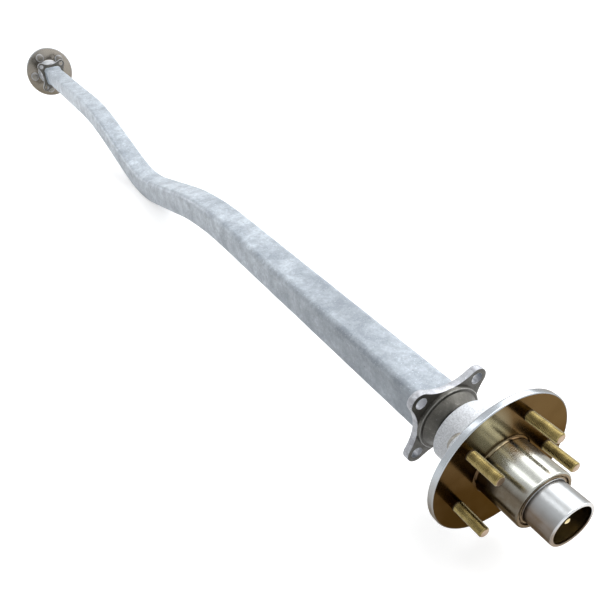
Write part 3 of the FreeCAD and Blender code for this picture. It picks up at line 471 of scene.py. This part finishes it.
def weld_bead(side):
    """A quarter-round bead carried round the tube's outline. Its size swells a little at each ripple, and the
    ripples curve back across the bead."""
    bead_outline, bead_outward = filled_in(*rounded_square(TUBE_HALF, TUBE_CORNER, 13), 0.55)
    step = np.linalg.norm(np.roll(bead_outline, -1, axis=0) - bead_outline, axis=1)
    travelled = np.concatenate([[0], np.cumsum(step)[:-1]])[:, None]
    total = step.sum()
    ripples = round(total / RIPPLE_PITCH)
    angle = np.linspace(0, math.pi / 2, 9)[None, :]
    phase = travelled / total * ripples * 2 * math.pi - 1.6 * np.sin(2 * angle)
    slow = 0.06 * np.sin(travelled / total * 7 * 2 * math.pi)
    size = WELD_LEG * (1 + slow + 0.07 * np.sin(phase))
    out = np.concatenate([0 * travelled, size * np.cos(angle)], axis=1)
    back = np.concatenate([0 * travelled, size * np.sin(angle)], axis=1)
    across = bead_outline[:, :1] + bead_outward[:, :1] * (out + 0.1)
    upward = bead_outline[:, 1:] + bead_outward[:, 1:] * (out + 0.1)
    return at_end(side, -FLANGE_BACK - 0.05 - back, across, upward)


for side_name, side in SIDES.items():
    skin(
        side_name + "_weld_bead",
        [(weld_bead(side), True, True, 0)],
        [zinc],
        "axle",
        [side_name + "_flange_weld"],
    )


# Wheel hubs: one iron casting, left rough round its rear boss and turned bright on the disc, the rim and the
# nose barrel. The turned faces are tinted amber and darker to their lower side, a painted reflection of brown
# surroundings below.
def choose_hub_zone(along, radius):
    """0 rough casting, 1 polished disc, brown as a painted reflection, 2 bright rim, 3 barrel, 4 bores, 5 back of the
    disc. The pads are 6.
    """
    zone = np.full(len(along), 4)
    zone[(along < -7.5) & (radius > 33.5)] = 0
    zone[(along > -3.5) & (along < 3.1) & (radius > 32.3)] = 1
    zone[(np.abs(along + 7) < 1) & (radius > 42.0)] = 5
    zone[(radius > 80.6)] = 2
    zone[(along > 3.1) & (radius > 30.5)] = 3
    return zone


hub_corners = [
    ((-53.0, 32.55), 0.3),
    ((-53.0, 36.4), 1.8),
    ((-12.0, 36.4), 6.0),
    ((-7.0, 41.4), 1.5),
    ((-7.0, 82.0), 1.5),
    ((0.0, 82.0), 1.3),
    ((0.0, 32.4), 3.0),
    ((49.0, 32.4), 1.6),
    ((49.0, 28.6), 0.4),
    ((46.6, 28.6), 0.3),
    ((46.6, 25.15), 0.3),
    ((23.5, 25.15), 0.2),
    ((23.5, 21.2), 0.3),
    ((18.5, 22.5), 1.0),
    ((-25.6, 23.8), 1.0),
    ((-30.6, 23.8), 0.3),
    ((-30.6, 29.57), 0.2),
    ((-42.8, 29.57), 0.2),
    ((-42.8, 32.55), 0.2),
]
hub_profile = softened([corner for corner, radius in hub_corners], [radius for corner, radius in hub_corners], 6)


# Tilt of the painted reflection's gradient about the spin axis.
PAINTED_LOW_LEAN = math.radians(16.7)
TOOL_MARK_PITCH = 0.0008


def turned_steel(name, bright, painted_low_colour, low, high, roughness, grazing=0.8, facing=False, painted_highlight=None):
    """Turned metal whose colour passes downwards, in clouds, from the bright colour to a painted low colour between two
    heights in metres, on a slightly tilted gradient: mostly a painted reflection of brown surroundings below, inside
    the grease cap a painted patch of light. The metal is dulled at grazing angles. Fine tool marks run round the
    axis, or in circles on a faced disc, and faint scratches vary the gloss. A painted highlight is an oval of another
    colour: its colour, its centre's distance from the axis and angle, and its half length and width."""
    finish, tree, surface = shader(name, 1.0, roughness)
    surface.inputs["Specular Tint"].default_value = (grazing, grazing * 0.9, grazing * 0.8, 1)
    place = tree.nodes.new("ShaderNodeTexCoord")
    leaning = tree.nodes.new("ShaderNodeMapping")
    leaning.inputs["Rotation"].default_value = (0, PAINTED_LOW_LEAN, 0)
    parts = tree.nodes.new("ShaderNodeSeparateXYZ")
    tree.links.new(place.outputs["Object"], leaning.inputs["Vector"])
    tree.links.new(leaning.outputs["Vector"], parts.inputs["Vector"])
    # Painted reflection: the low colour takes over downwards between the two heights.
    painted_low_share = spread(tree, parts.outputs["Z"], low, high, 1, 0)
    clouds = spread(tree, noise(tree, 34, 5.0), 0.3, 0.7, -0.2, 0.2)
    both = tree.nodes.new("ShaderNodeMath")
    both.operation = "ADD"
    both.use_clamp = True
    tree.links.new(painted_low_share, both.inputs[0])
    tree.links.new(clouds, both.inputs[1])
    colour = blend(tree, both.outputs[0], bright, painted_low_colour)
    # The oval is a painted highlight.
    if painted_highlight:
        painted_highlight_colour, reach, angle, half_length, half_width = painted_highlight
        oval = tree.nodes.new("ShaderNodeMapping")
        oval.vector_type = "TEXTURE"
        oval.inputs["Location"].default_value = (reach * math.cos(angle), 0, reach * math.sin(angle))
        oval.inputs["Rotation"].default_value = (0, -angle, 0)
        oval.inputs["Scale"].default_value = (half_length, 1000, half_width)
        patch = tree.nodes.new("ShaderNodeTexGradient")
        patch.gradient_type = "SPHERICAL"
        tree.links.new(place.outputs["Object"], oval.inputs["Vector"])
        tree.links.new(oval.outputs["Vector"], patch.inputs["Vector"])
        colour = blend(tree, spread(tree, patch.outputs["Fac"], 0, 0.6, 0, 1), colour, painted_highlight_colour)
    tree.links.new(colour, surface.inputs["Base Color"])
    gloss = spread(tree, noise(tree, 420, 4.0), 0.35, 0.7, roughness * 0.93, roughness * 1.12)
    tree.links.new(gloss, surface.inputs["Roughness"])
    rings = tree.nodes.new("ShaderNodeTexWave")
    rings.wave_type = "RINGS" if facing else "BANDS"
    rings.bands_direction = "Y"
    rings.rings_direction = "Y"
    rings.inputs["Scale"].default_value = 1 / TOOL_MARK_PITCH / 20 * math.pi
    rings.inputs["Distortion"].default_value = 0.4
    tree.links.new(place.outputs["Object"], rings.inputs["Vector"])
    marks = relief(tree, surface, rings.outputs["Fac"], 0.000004, 0.2)
    relief(tree, surface, noise(tree, 40, 2.0), 0.0001, 0.03, marks)
    return finish


def plated_steel(name, colour, second, roughness):
    """Plated steel with slight colour clouds and handling marks."""
    finish, tree, surface = shader(name, 1.0, roughness)
    clouds = spread(tree, noise(tree, 90, 3.0), 0.36, 0.64, 0, 1)
    tree.links.new(blend(tree, clouds, colour, second), surface.inputs["Base Color"])
    tree.links.new(spread(tree, noise(tree, 500, 3.0), 0.35, 0.65, roughness * 0.9, roughness * 1.15), surface.inputs["Roughness"])
    relief(tree, surface, noise(tree, 500, 2.0), 0.00002, 0.12)
    return finish


def rough_casting(name):
    """Sand-cast skin under zinc: coarse pits and grains, pale on the high spots."""
    finish, tree, surface = shader(name, 0.15, 0.5)
    grains = noise(tree, 640, 6.0, rough=0.7)
    pits = noise(tree, 230, 3.0)
    colour = blend(tree, spread(tree, grains, 0.36, 0.6, 0, 1), (0.46, 0.48, 0.51), (0.73, 0.76, 0.8))
    tree.links.new(colour, surface.inputs["Base Color"])
    broad = relief(tree, surface, pits, 0.0007, 0.5)
    relief(tree, surface, grains, 0.0004, 0.7, broad)
    return finish


casting = rough_casting("hub_casting")
# A painted highlight: a paler gold oval on the disc face beside the barrel, where a lamp's reflection falls.
disc_painted_highlight = ((0.27, 0.245, 0.165), 0.060, math.radians(66), 0.042, 0.027)
# The disc face's brown is a painted reflection of brown surroundings.
disc_steel = turned_steel(
    "hub_disc_face", (0.125, 0.083, 0.043), (0.058, 0.035, 0.019), -0.03, 0.06, 0.17, 0.52, True, disc_painted_highlight
)
barrel_steel = turned_steel("hub_barrel", (0.45, 0.46, 0.43), (0.095, 0.078, 0.056), 0.006, 0.021, 0.21, 0.45)
rim_steel = turned_steel("hub_rim", (0.38, 0.41, 0.44), (0.24, 0.215, 0.18), -0.05, 0.01, 0.24, 0.45)
bore_steel = turned_steel("hub_bores", (0.2, 0.16, 0.11), (0.1, 0.07, 0.04), -0.03, 0.03, 0.35)
back_steel = turned_steel(
    "hub_disc_back", (0.27, 0.25, 0.22), (0.15, 0.13, 0.1), -0.08, 0.06, 0.2, facing=True
)
pad_steel = plated_steel("hub_pads", (0.36, 0.36, 0.37), (0.24, 0.24, 0.24), 0.42)
STUD_CIRCLE = 57.15
STUD_CLOCKING = math.radians(66.8)
stud_axes = []
for index in range(5):
    stud_angle = STUD_CLOCKING + index * 2 * math.pi / 5
    stud_axes.append((STUD_CIRCLE * math.cos(stud_angle), STUD_CIRCLE * math.sin(stud_angle)))
pad_profile = softened([(-15.0, 6.37), (-15.0, 13.5), (-6.6, 13.5), (-6.6, 6.37)], [0.2, 1.3, 0.2, 0.2], 5)
pad_zones = zones_of(pad_profile, 48, lambda along, radius: np.where(along < -14.0, 6, 0))
for side_name, side in SIDES.items():
    zones = zones_of(hub_profile, 160, choose_hub_zone)
    sheets = [(turned(hub_profile, side, 160), True, True, zones)]
    for across, upward in stud_axes:
        sheets.append((turned(pad_profile, side, 48, across, upward), True, True, pad_zones))
    skin(
        side_name + "_hub_casting",
        sheets,
        [casting, disc_steel, rim_steel, barrel_steel, bore_steel, back_steel, pad_steel],
        side_name + "_wheel_hub",
        [side_name + "_hub"],
    )


# Wheel studs: forged steel bolts pressed through the disc from behind up to a low round head, with a thread
# rolled over all of the length in front of the disc, and yellow passivated.
STUD_RADIUS = 6.0
STUD_REACH = 35.0
STUD_PITCH = 1.5
THREAD_DEPTH = 0.8


def screw_surface(start, end, radius, depth, pitch, segments, rows_per_turn, fade):
    """A threaded rod's skin as along and radius at each angle: the radius falls to the root and back once a
    pitch, the groove goes round as it goes along, and it runs out at both ends."""
    rows = int((end - start) / pitch * rows_per_turn) + 1
    along = np.linspace(start, end, rows)[:, None]
    angle = (np.arange(segments) / segments * 2 * math.pi)[None, :]
    turn = (along / pitch - angle / (2 * math.pi)) % 1.0
    groove = np.clip(np.abs(turn - 0.5) * 2.4 - 0.1, 0, 1)
    runout = np.clip((along - start) / fade, 0, 1) * np.clip((end - along) / (fade * 0.5) + 0.3, 0, 1)
    reach = radius - depth * (1 - groove) * runout
    return along + 0 * angle, reach


def screwed_rod(outline_before, threaded, outline_after, segments):
    """Rows of a rod: turned steps, then a thread, then turned steps, as one grid of along and radius."""
    before = [np.full((1, segments), along) for along, radius in outline_before]
    before_radius = [np.full((1, segments), radius) for along, radius in outline_before]
    after = [np.full((1, segments), along) for along, radius in outline_after]
    after_radius = [np.full((1, segments), radius) for along, radius in outline_after]
    return np.concatenate(before + [threaded[0]] + after), np.concatenate(before_radius + [threaded[1]] + after_radius)


def stud_sheet(side, across, upward):
    """One stud, head to tip, about its own axis."""
    segments = 32
    head_back, head_front = -20.02, -15.02
    thread_start = 0.5
    tip = 1.3
    steps = [
        (head_back, 0.0),
        (head_back, 8.4),
        (head_back + 0.4, 9.3),
        (head_back + 1.3, 10.0),
        (head_front - 0.4, 10.0),
        (head_front, 9.7),
        (head_front, 6.35),
        (-0.3, 6.35),
        (0.0, 6.1),
        (thread_start - 0.1, STUD_RADIUS - 0.3),
    ]
    thread = screw_surface(thread_start, STUD_REACH - tip, STUD_RADIUS, THREAD_DEPTH, STUD_PITCH, segments, 7, 1.5)
    end = [(STUD_REACH - 0.25, STUD_RADIUS - 1.25), (STUD_REACH, STUD_RADIUS - 1.7), (STUD_REACH, 0.0)]
    along, radius = screwed_rod(steps, thread, end, segments)
    angle = (np.arange(segments) / segments * 2 * math.pi)[None, :]
    # Zone 2 is the stud's foot, darkened as painted shadow.
    zone = np.where(along[:-1] > thread_start + 0.6, 1, np.where(along[:-1] < -1, 0, 2))
    # Zone 3 is the tip, paler as a painted highlight.
    zone = np.where(along[:-1] > STUD_REACH - 1.2, 3, zone)
    return at_end(side, along, across + radius * np.cos(angle), upward + radius * np.sin(angle)), zone


stud_head = plated_steel("stud_head", (0.26, 0.25, 0.23), (0.17, 0.16, 0.14), 0.36)
stud_thread = plated_steel("stud_thread", (0.29, 0.235, 0.1), (0.16, 0.122, 0.046), 0.24)
# The foot where the stud enters the disc is near-black: painted shadow in the gap round the stud.
stud_foot_painted_shade = plated_steel("stud_foot_painted_shade", (0.05, 0.035, 0.018), (0.03, 0.02, 0.01), 0.45)
# Paler pinkish tip: a painted highlight.
stud_end_painted_highlight = plated_steel("stud_end_painted_highlight", (0.4, 0.29, 0.2), (0.27, 0.19, 0.12), 0.32)
for side_name, side in SIDES.items():
    sheets = []
    for across, upward in stud_axes:
        sheet, zone = stud_sheet(side, across, upward)
        sheets.append((sheet, False, True, zone))
    skin(
        side_name + "_stud_set",
        sheets,
        [stud_head, stud_thread, stud_foot_painted_shade, stud_end_painted_highlight],
        side_name + "_wheel_hub",
        [side_name + "_wheel_studs"],
    )


# Grease caps: deep drawn from thin steel, pressed into the nose of the hub up to a rolled bead. The mouth is
# open, with its rim turned in, so that the grease nipple can be reached.
cap_corners = [
    ((37.62, 23.63), 0.2),
    ((37.62, 25.13), 0.5),
    ((46.62, 25.13), 0.2),
    ((46.62, 27.2), 0.6),
    ((48.22, 27.2), 0.7),
    ((48.5, 24.9), 0.6),
    ((78.3, 24.9), 1.6),
    ((78.3, 21.5), 0.5),
    ((76.9, 21.5), 0.4),
    ((75.8, 23.4), 0.8),
    ((48.4, 23.4), 0.5),
]
cap_profile = softened([corner for corner, radius in cap_corners], [radius for corner, radius in cap_corners], 6)


def choose_cap_zone(along, radius):
    """0 outside, 1 inside, dark as painted shade, 2 the rolled bead, 3 the turned-in rim, pale as a painted highlight.
    """
    inside = (radius < 23.9) & (along < 77.5)
    chosen = np.where(inside, 1, np.where(radius > 25.4, 2, 0))
    return np.where((along > 77.2) & (radius > 21.6), 3, chosen)


# The cap's outside turns brown to its lower side: a painted reflection.
cap_outside = turned_steel("cap_outside", (0.36, 0.375, 0.385), (0.115, 0.09, 0.068), 0.0, 0.0125, 0.3, 0.45)
# The inside is near-black as painted shade, with a golden strip at its bottom as a painted patch of light.
cap_inner_painted_shade = turned_steel("cap_inner_painted_shade", (0.06, 0.045, 0.025), (0.24, 0.165, 0.06), -0.022, -0.008, 0.32)
cap_bead = turned_steel("cap_bead", (0.2, 0.16, 0.11), (0.08, 0.055, 0.03), -0.03, 0.02, 0.28)
# The turned-in rim is paler than the cap: a painted highlight.
cap_lip_painted_highlight = turned_steel("cap_lip_painted_highlight", (0.62, 0.65, 0.68), (0.15, 0.12, 0.09), -0.004, 0.012, 0.24)
for side_name, side in SIDES.items():
    skin(
        side_name + "_cap_shell",
        [(turned(cap_profile, side, 128), True, True, zones_of(cap_profile, 128, choose_cap_zone))],
        [cap_outside, cap_inner_painted_shade, cap_bead, cap_lip_painted_highlight],
        side_name + "_wheel_hub",
        [side_name + "_grease_cap"],
    )


# Spindles: turned from bar. The shank is inside the tube and the collar in the flange; in front of it are
# the seal's journal, two bearing journals and a fine thread with one milled flat for the keyed washer.
THREAD_RADIUS = 12.7
SPINDLE_PITCH = 1.81
THREAD_START = 38.0
SPINDLE_FRONT = 63.0
FLAT_DEPTH = 10.7
SPINDLE_SEGMENTS = 96


def spindle_sheet(side):
    """The spindle from shank to tip; the milled flat cuts the thread's radius where it would pass it."""
    steps = [
        (-182.6, 0.0),
        (-182.6, 20.8),
        (-82.6, 20.8),
        (-82.6, 24.0),
        (-59.3, 24.0),
        (-58.9, 23.8),
        (-57.8, 22.1),
        (-57.3, 21.83),
        (-46.6, 21.83),
        (-46.5, 17.46),
        (-26.5, 17.46),
        (19.7, 13.49),
        (37.6, 13.49),
        (37.6, 12.2),
    ]
    thread = screw_surface(THREAD_START, SPINDLE_FRONT - 1.5, THREAD_RADIUS, 0.9, SPINDLE_PITCH, SPINDLE_SEGMENTS, 7, 1.0)
    end = [(SPINDLE_FRONT, THREAD_RADIUS - 1.6), (SPINDLE_FRONT, 1.62), (SPINDLE_FRONT - 40, 1.6), (SPINDLE_FRONT - 40, 0.0)]
    along, radius = screwed_rod(steps, thread, end, SPINDLE_SEGMENTS)
    angle = (np.arange(SPINDLE_SEGMENTS) / SPINDLE_SEGMENTS * 2 * math.pi)[None, :]
    facing = np.cos(angle)
    flat = np.where(facing > 0.3, FLAT_DEPTH / np.maximum(facing, 0.3), 99.0)
    radius = np.where(along > THREAD_START - 0.3, np.minimum(radius, flat), radius)
    # Behind 50 mm inboard of the wheel face the spindle takes a near-black finish, painted shade in the gap between
    # flange and hub.
    zone = np.where(along[:-1] < -50, 1, 0)
    return at_end(side, along, radius * np.cos(angle), radius * np.sin(angle)), zone


spindle_steel = turned_steel("spindle_steel", (0.4, 0.39, 0.36), (0.2, 0.17, 0.13), -0.03, 0.03, 0.3)
# Near-black finish: painted shade on the collar in the gap between flange and hub.
painted_shade_collar = plated_steel("spindle_painted_shade", (0.08, 0.075, 0.07), (0.045, 0.042, 0.04), 0.45)
for side_name, side in SIDES.items():
    sheet, zone = spindle_sheet(side)
    skin(
        side_name + "_spindle_bar",
        [(sheet, False, True, zone)],
        [spindle_steel, painted_shade_collar],
        "axle",
        [side_name + "_spindle"],
    )


# Grease seals: a pressed steel case with a moulded rubber lip that wipes the spindle's journal.
seal_profile = softened(
    [
        (-53.0, 32.53),
        (-46.5, 32.53),
        (-46.5, 31.33),
        (-51.8, 31.33),
        (-51.8, 24.3),
        (-47.7, 23.1),
        (-47.7, 21.93),
        (-53.0, 23.1),
    ],
    0.5,
)


def choose_seal_zone(along, radius):
    """0 steel case, 1 rubber lip."""
    return np.where(radius < 28.0, 1, 0)


def soft_rubber(name):
    """Black rubber, faintly greasy, with fine mould texture."""
    finish, tree, surface = shader(name, 0.0, 0.5)
    tree.links.new(blend(tree, noise(tree, 300, 3.0), (0.016, 0.016, 0.017), (0.035, 0.034, 0.034)), surface.inputs["Base Color"])
    tree.links.new(spread(tree, noise(tree, 200, 4.0), 0.35, 0.65, 0.35, 0.65), surface.inputs["Roughness"])
    relief(tree, surface, noise(tree, 1500, 2.0), 0.00005, 0.4)
    return finish


seal_case = plated_steel("seal_case", (0.36, 0.34, 0.31), (0.24, 0.22, 0.19), 0.38)
seal_lip = soft_rubber("seal_lip")
for side_name, side in SIDES.items():
    skin(
        side_name + "_seal_ring",
        [(turned(seal_profile, side, 96), True, True, zones_of(seal_profile, 96, choose_seal_zone))],
        [seal_case, seal_lip],
        side_name + "_wheel_hub",
        [side_name + "_grease_seal"],
    )


# Inside the cap: keyed washer, castle nut, split pin and grease nipple. They are shaped in the solids, and
# here get softly broken edges, plating, and the film of grease that has crept over them.
def edged_copy(node, edge, finish, body):
    """The solid's own mesh with doubles merged and its sharp edges rounded."""
    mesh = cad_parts[node].data.copy()
    mesh.name = node + "_edged"
    solid = bmesh.new()
    solid.from_mesh(mesh)
    bmesh.ops.remove_doubles(solid, verts=solid.verts, dist=2e-6)
    bmesh.ops.recalc_face_normals(solid, faces=solid.faces)
    solid.to_mesh(mesh)
    solid.free()
    mesh.materials.clear()
    mesh.materials.append(finish)
    mesh.polygons.foreach_set("use_smooth", [True] * len(mesh.polygons))
    piece = bpy.data.objects.new(node + "_edged", mesh)
    bpy.context.scene.collection.objects.link(piece)
    rounding = piece.modifiers.new("broken_edges", "BEVEL")
    rounding.width = edge * MM
    rounding.segments = 2
    rounding.limit_method = "ANGLE"
    rounding.angle_limit = math.radians(35)
    rounding.harden_normals = True
    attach(piece, body)
    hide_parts(node)
    return piece


greased_plating = plated_steel("greased_plating", (0.26, 0.19, 0.07), (0.12, 0.08, 0.03), 0.28)
nipple_plating = plated_steel("nipple_plating", (0.8, 0.68, 0.4), (0.62, 0.5, 0.26), 0.22)
for side_name in SIDES:
    edged_copy(side_name + "_castle_nut", 0.35, greased_plating, "axle")
    edged_copy(side_name + "_spindle_washer", 0.25, greased_plating, "axle")
    edged_copy(side_name + "_grease_nipple", 0.15, nipple_plating, "axle")


# Bearings and split pins: ground races and rollers, a pressed cage, and folded half-round wire. They keep
# the solids' own meshes and get their metals.
ground_steel = plated_steel("ground_steel", (0.62, 0.62, 0.63), (0.5, 0.5, 0.5), 0.18)
pressed_strip = plated_steel("pressed_strip", (0.42, 0.39, 0.34), (0.3, 0.28, 0.25), 0.35)
pin_wire = plated_steel("pin_wire", (0.55, 0.53, 0.5), (0.4, 0.37, 0.33), 0.3)
CARRIED_OVER = {
    "bearing_cup": ground_steel,
    "bearing_cone": ground_steel,
    "bearing_rollers": ground_steel,
    "bearing_cage": pressed_strip,
    "split_pin": pin_wire,
}
for node_name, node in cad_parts.items():
    for ending, finish in CARRIED_OVER.items():
        if node_name.endswith(ending):
            node.data.materials.clear()
            node.data.materials.append(finish)


# Floor: a plain pale sheet that shows white and keeps the axle's soft shadow.
FLOOR_HEIGHT = -0.1005
floor_mesh = bpy.data.meshes.new("floor")
floor_half = 30.0
floor_mesh.from_pydata(
    [(across * floor_half, along * floor_half, FLOOR_HEIGHT) for across, along in ((-1, -1), (1, -1), (1, 1), (-1, 1))],
    [],
    [(0, 1, 2, 3)],
)
floor = bpy.data.objects.new("floor", floor_mesh)
bpy.context.scene.collection.objects.link(floor)
floor_finish, floor_tree, floor_surface = shader("floor_paper", 0.0, 1.0)
floor_surface.inputs["Base Color"].default_value = (0.7, 0.7, 0.7, 1)
floor_surface.inputs["Specular IOR Level"].default_value = 0.0


def seen_directly(tree):
    """1 for rays from the camera, and for those reflected or passed on by the object."""
    rays = tree.nodes.new("ShaderNodeLightPath")
    total = rays.outputs["Is Camera Ray"]
    for name in ("Is Glossy Ray", "Is Transmission Ray"):
        larger = tree.nodes.new("ShaderNodeMath")
        larger.operation = "MAXIMUM"
        tree.links.new(total, larger.inputs[0])
        tree.links.new(rays.outputs[name], larger.inputs[1])
        total = larger.outputs[0]
    return total


floor_glow = floor_tree.nodes.new("ShaderNodeMath")
floor_glow.operation = "MULTIPLY"
floor_glow.inputs[1].default_value = 0.6
floor_tree.links.new(seen_directly(floor_tree), floor_glow.inputs[0])
floor_tree.links.new(floor_glow.outputs[0], floor_surface.inputs["Emission Strength"])
floor_surface.inputs["Emission Color"].default_value = (1, 1, 1, 1)
floor_mesh.materials.append(floor_finish)


# Light: an even pale surround, a wide soft sky from above, and three soft lamps that the metals mirror.
surround = bpy.data.worlds.new("surround")
bpy.context.scene.world = surround
surround.use_nodes = True
surround_tree = surround.node_tree
background = surround_tree.nodes["Background"]
background.inputs["Color"].default_value = (1, 1, 1, 1)
surround_level = spread(surround_tree, seen_directly(surround_tree), 0, 1, 0.13, 1.0)
surround_tree.links.new(surround_level, background.inputs["Strength"])


def soft_lamp(name, position, target, width, height, power):
    """A rectangular lamp that faces its target."""
    lamp = bpy.data.lights.new(name, "AREA")
    lamp.shape = "RECTANGLE"
    lamp.size = width
    lamp.size_y = height
    lamp.energy = power
    holder = bpy.data.objects.new(name, lamp)
    bpy.context.scene.collection.objects.link(holder)
    away = np.array(position, float) - np.array(target, float)
    away = away / np.linalg.norm(away)
    right = np.cross((0.0, 0.3, 1.0), away)
    right = right / np.linalg.norm(right)
    up = np.cross(away, right)
    turn = np.eye(4)
    turn[:3, 0], turn[:3, 1], turn[:3, 2], turn[:3, 3] = right, up, away, position
    holder.matrix_world = Matrix(turn.tolist())
    return holder


soft_lamp("overhead", (-1.45, 0.2, 2.1), (0, 0.2, 0), 1.1, 4.8, 42)
soft_lamp("strip", (0.62, 0.5, 1.8), (0.4, 0.5, 0), 0.4, 3.4, 11)
soft_lamp("end_lamp", (-1.4, 2.6, 1.5), (0, 1.0, 0), 0.7, 0.9, 8)
soft_lamp("far_lamp", (0.9, -1.55, 0.35), (0, -1.0, 0), 0.7, 0.7, 6)
sky = bpy.data.lights.new("sky", "SUN")
sky.energy = 2.5
sky.angle = math.radians(70)
sky_holder = bpy.data.objects.new("sky", sky)
bpy.context.scene.collection.objects.link(sky_holder)
towards_sky = Vector((-0.72, 0.12, 0.72)).normalized()
sky_holder.matrix_world = towards_sky.to_track_quat("Z", "Y").to_matrix().to_4x4()


# Camera: the photograph's own place, solved from the axle's known sizes.
FOCAL_PIXELS = 605.016
PICTURE = 599.0
CENTRE_ACROSS = 233.32
CENTRE_DOWN = 317.04
camera_place = (0.3505, 1.3552, 0.4665)
camera_right = (-0.8972816, 0.42777268, -0.10907)
camera_down = (0.32781304, 0.48015793, -0.81362582)
camera_forward = (-0.29567607, -0.76580604, -0.57106634)
camera_data = bpy.data.cameras.new("camera")
camera_data.sensor_width = 36.0
camera_data.lens = FOCAL_PIXELS / PICTURE * 36.0
camera_data.shift_x = (PICTURE / 2 - CENTRE_ACROSS) / PICTURE
camera_data.shift_y = (CENTRE_DOWN - PICTURE / 2) / PICTURE
camera_data.clip_start = 0.05
camera = bpy.data.objects.new("camera", camera_data)
bpy.context.scene.collection.objects.link(camera)
stance = np.eye(4)
stance[:3, 0] = camera_right
stance[:3, 1] = [-part for part in camera_down]
stance[:3, 2] = [-part for part in camera_forward]
stance[:3, 3] = camera_place
camera.matrix_world = Matrix(stance.tolist())
bpy.context.scene.camera = camera
bpy.context.scene.view_settings.view_transform = "Standard"
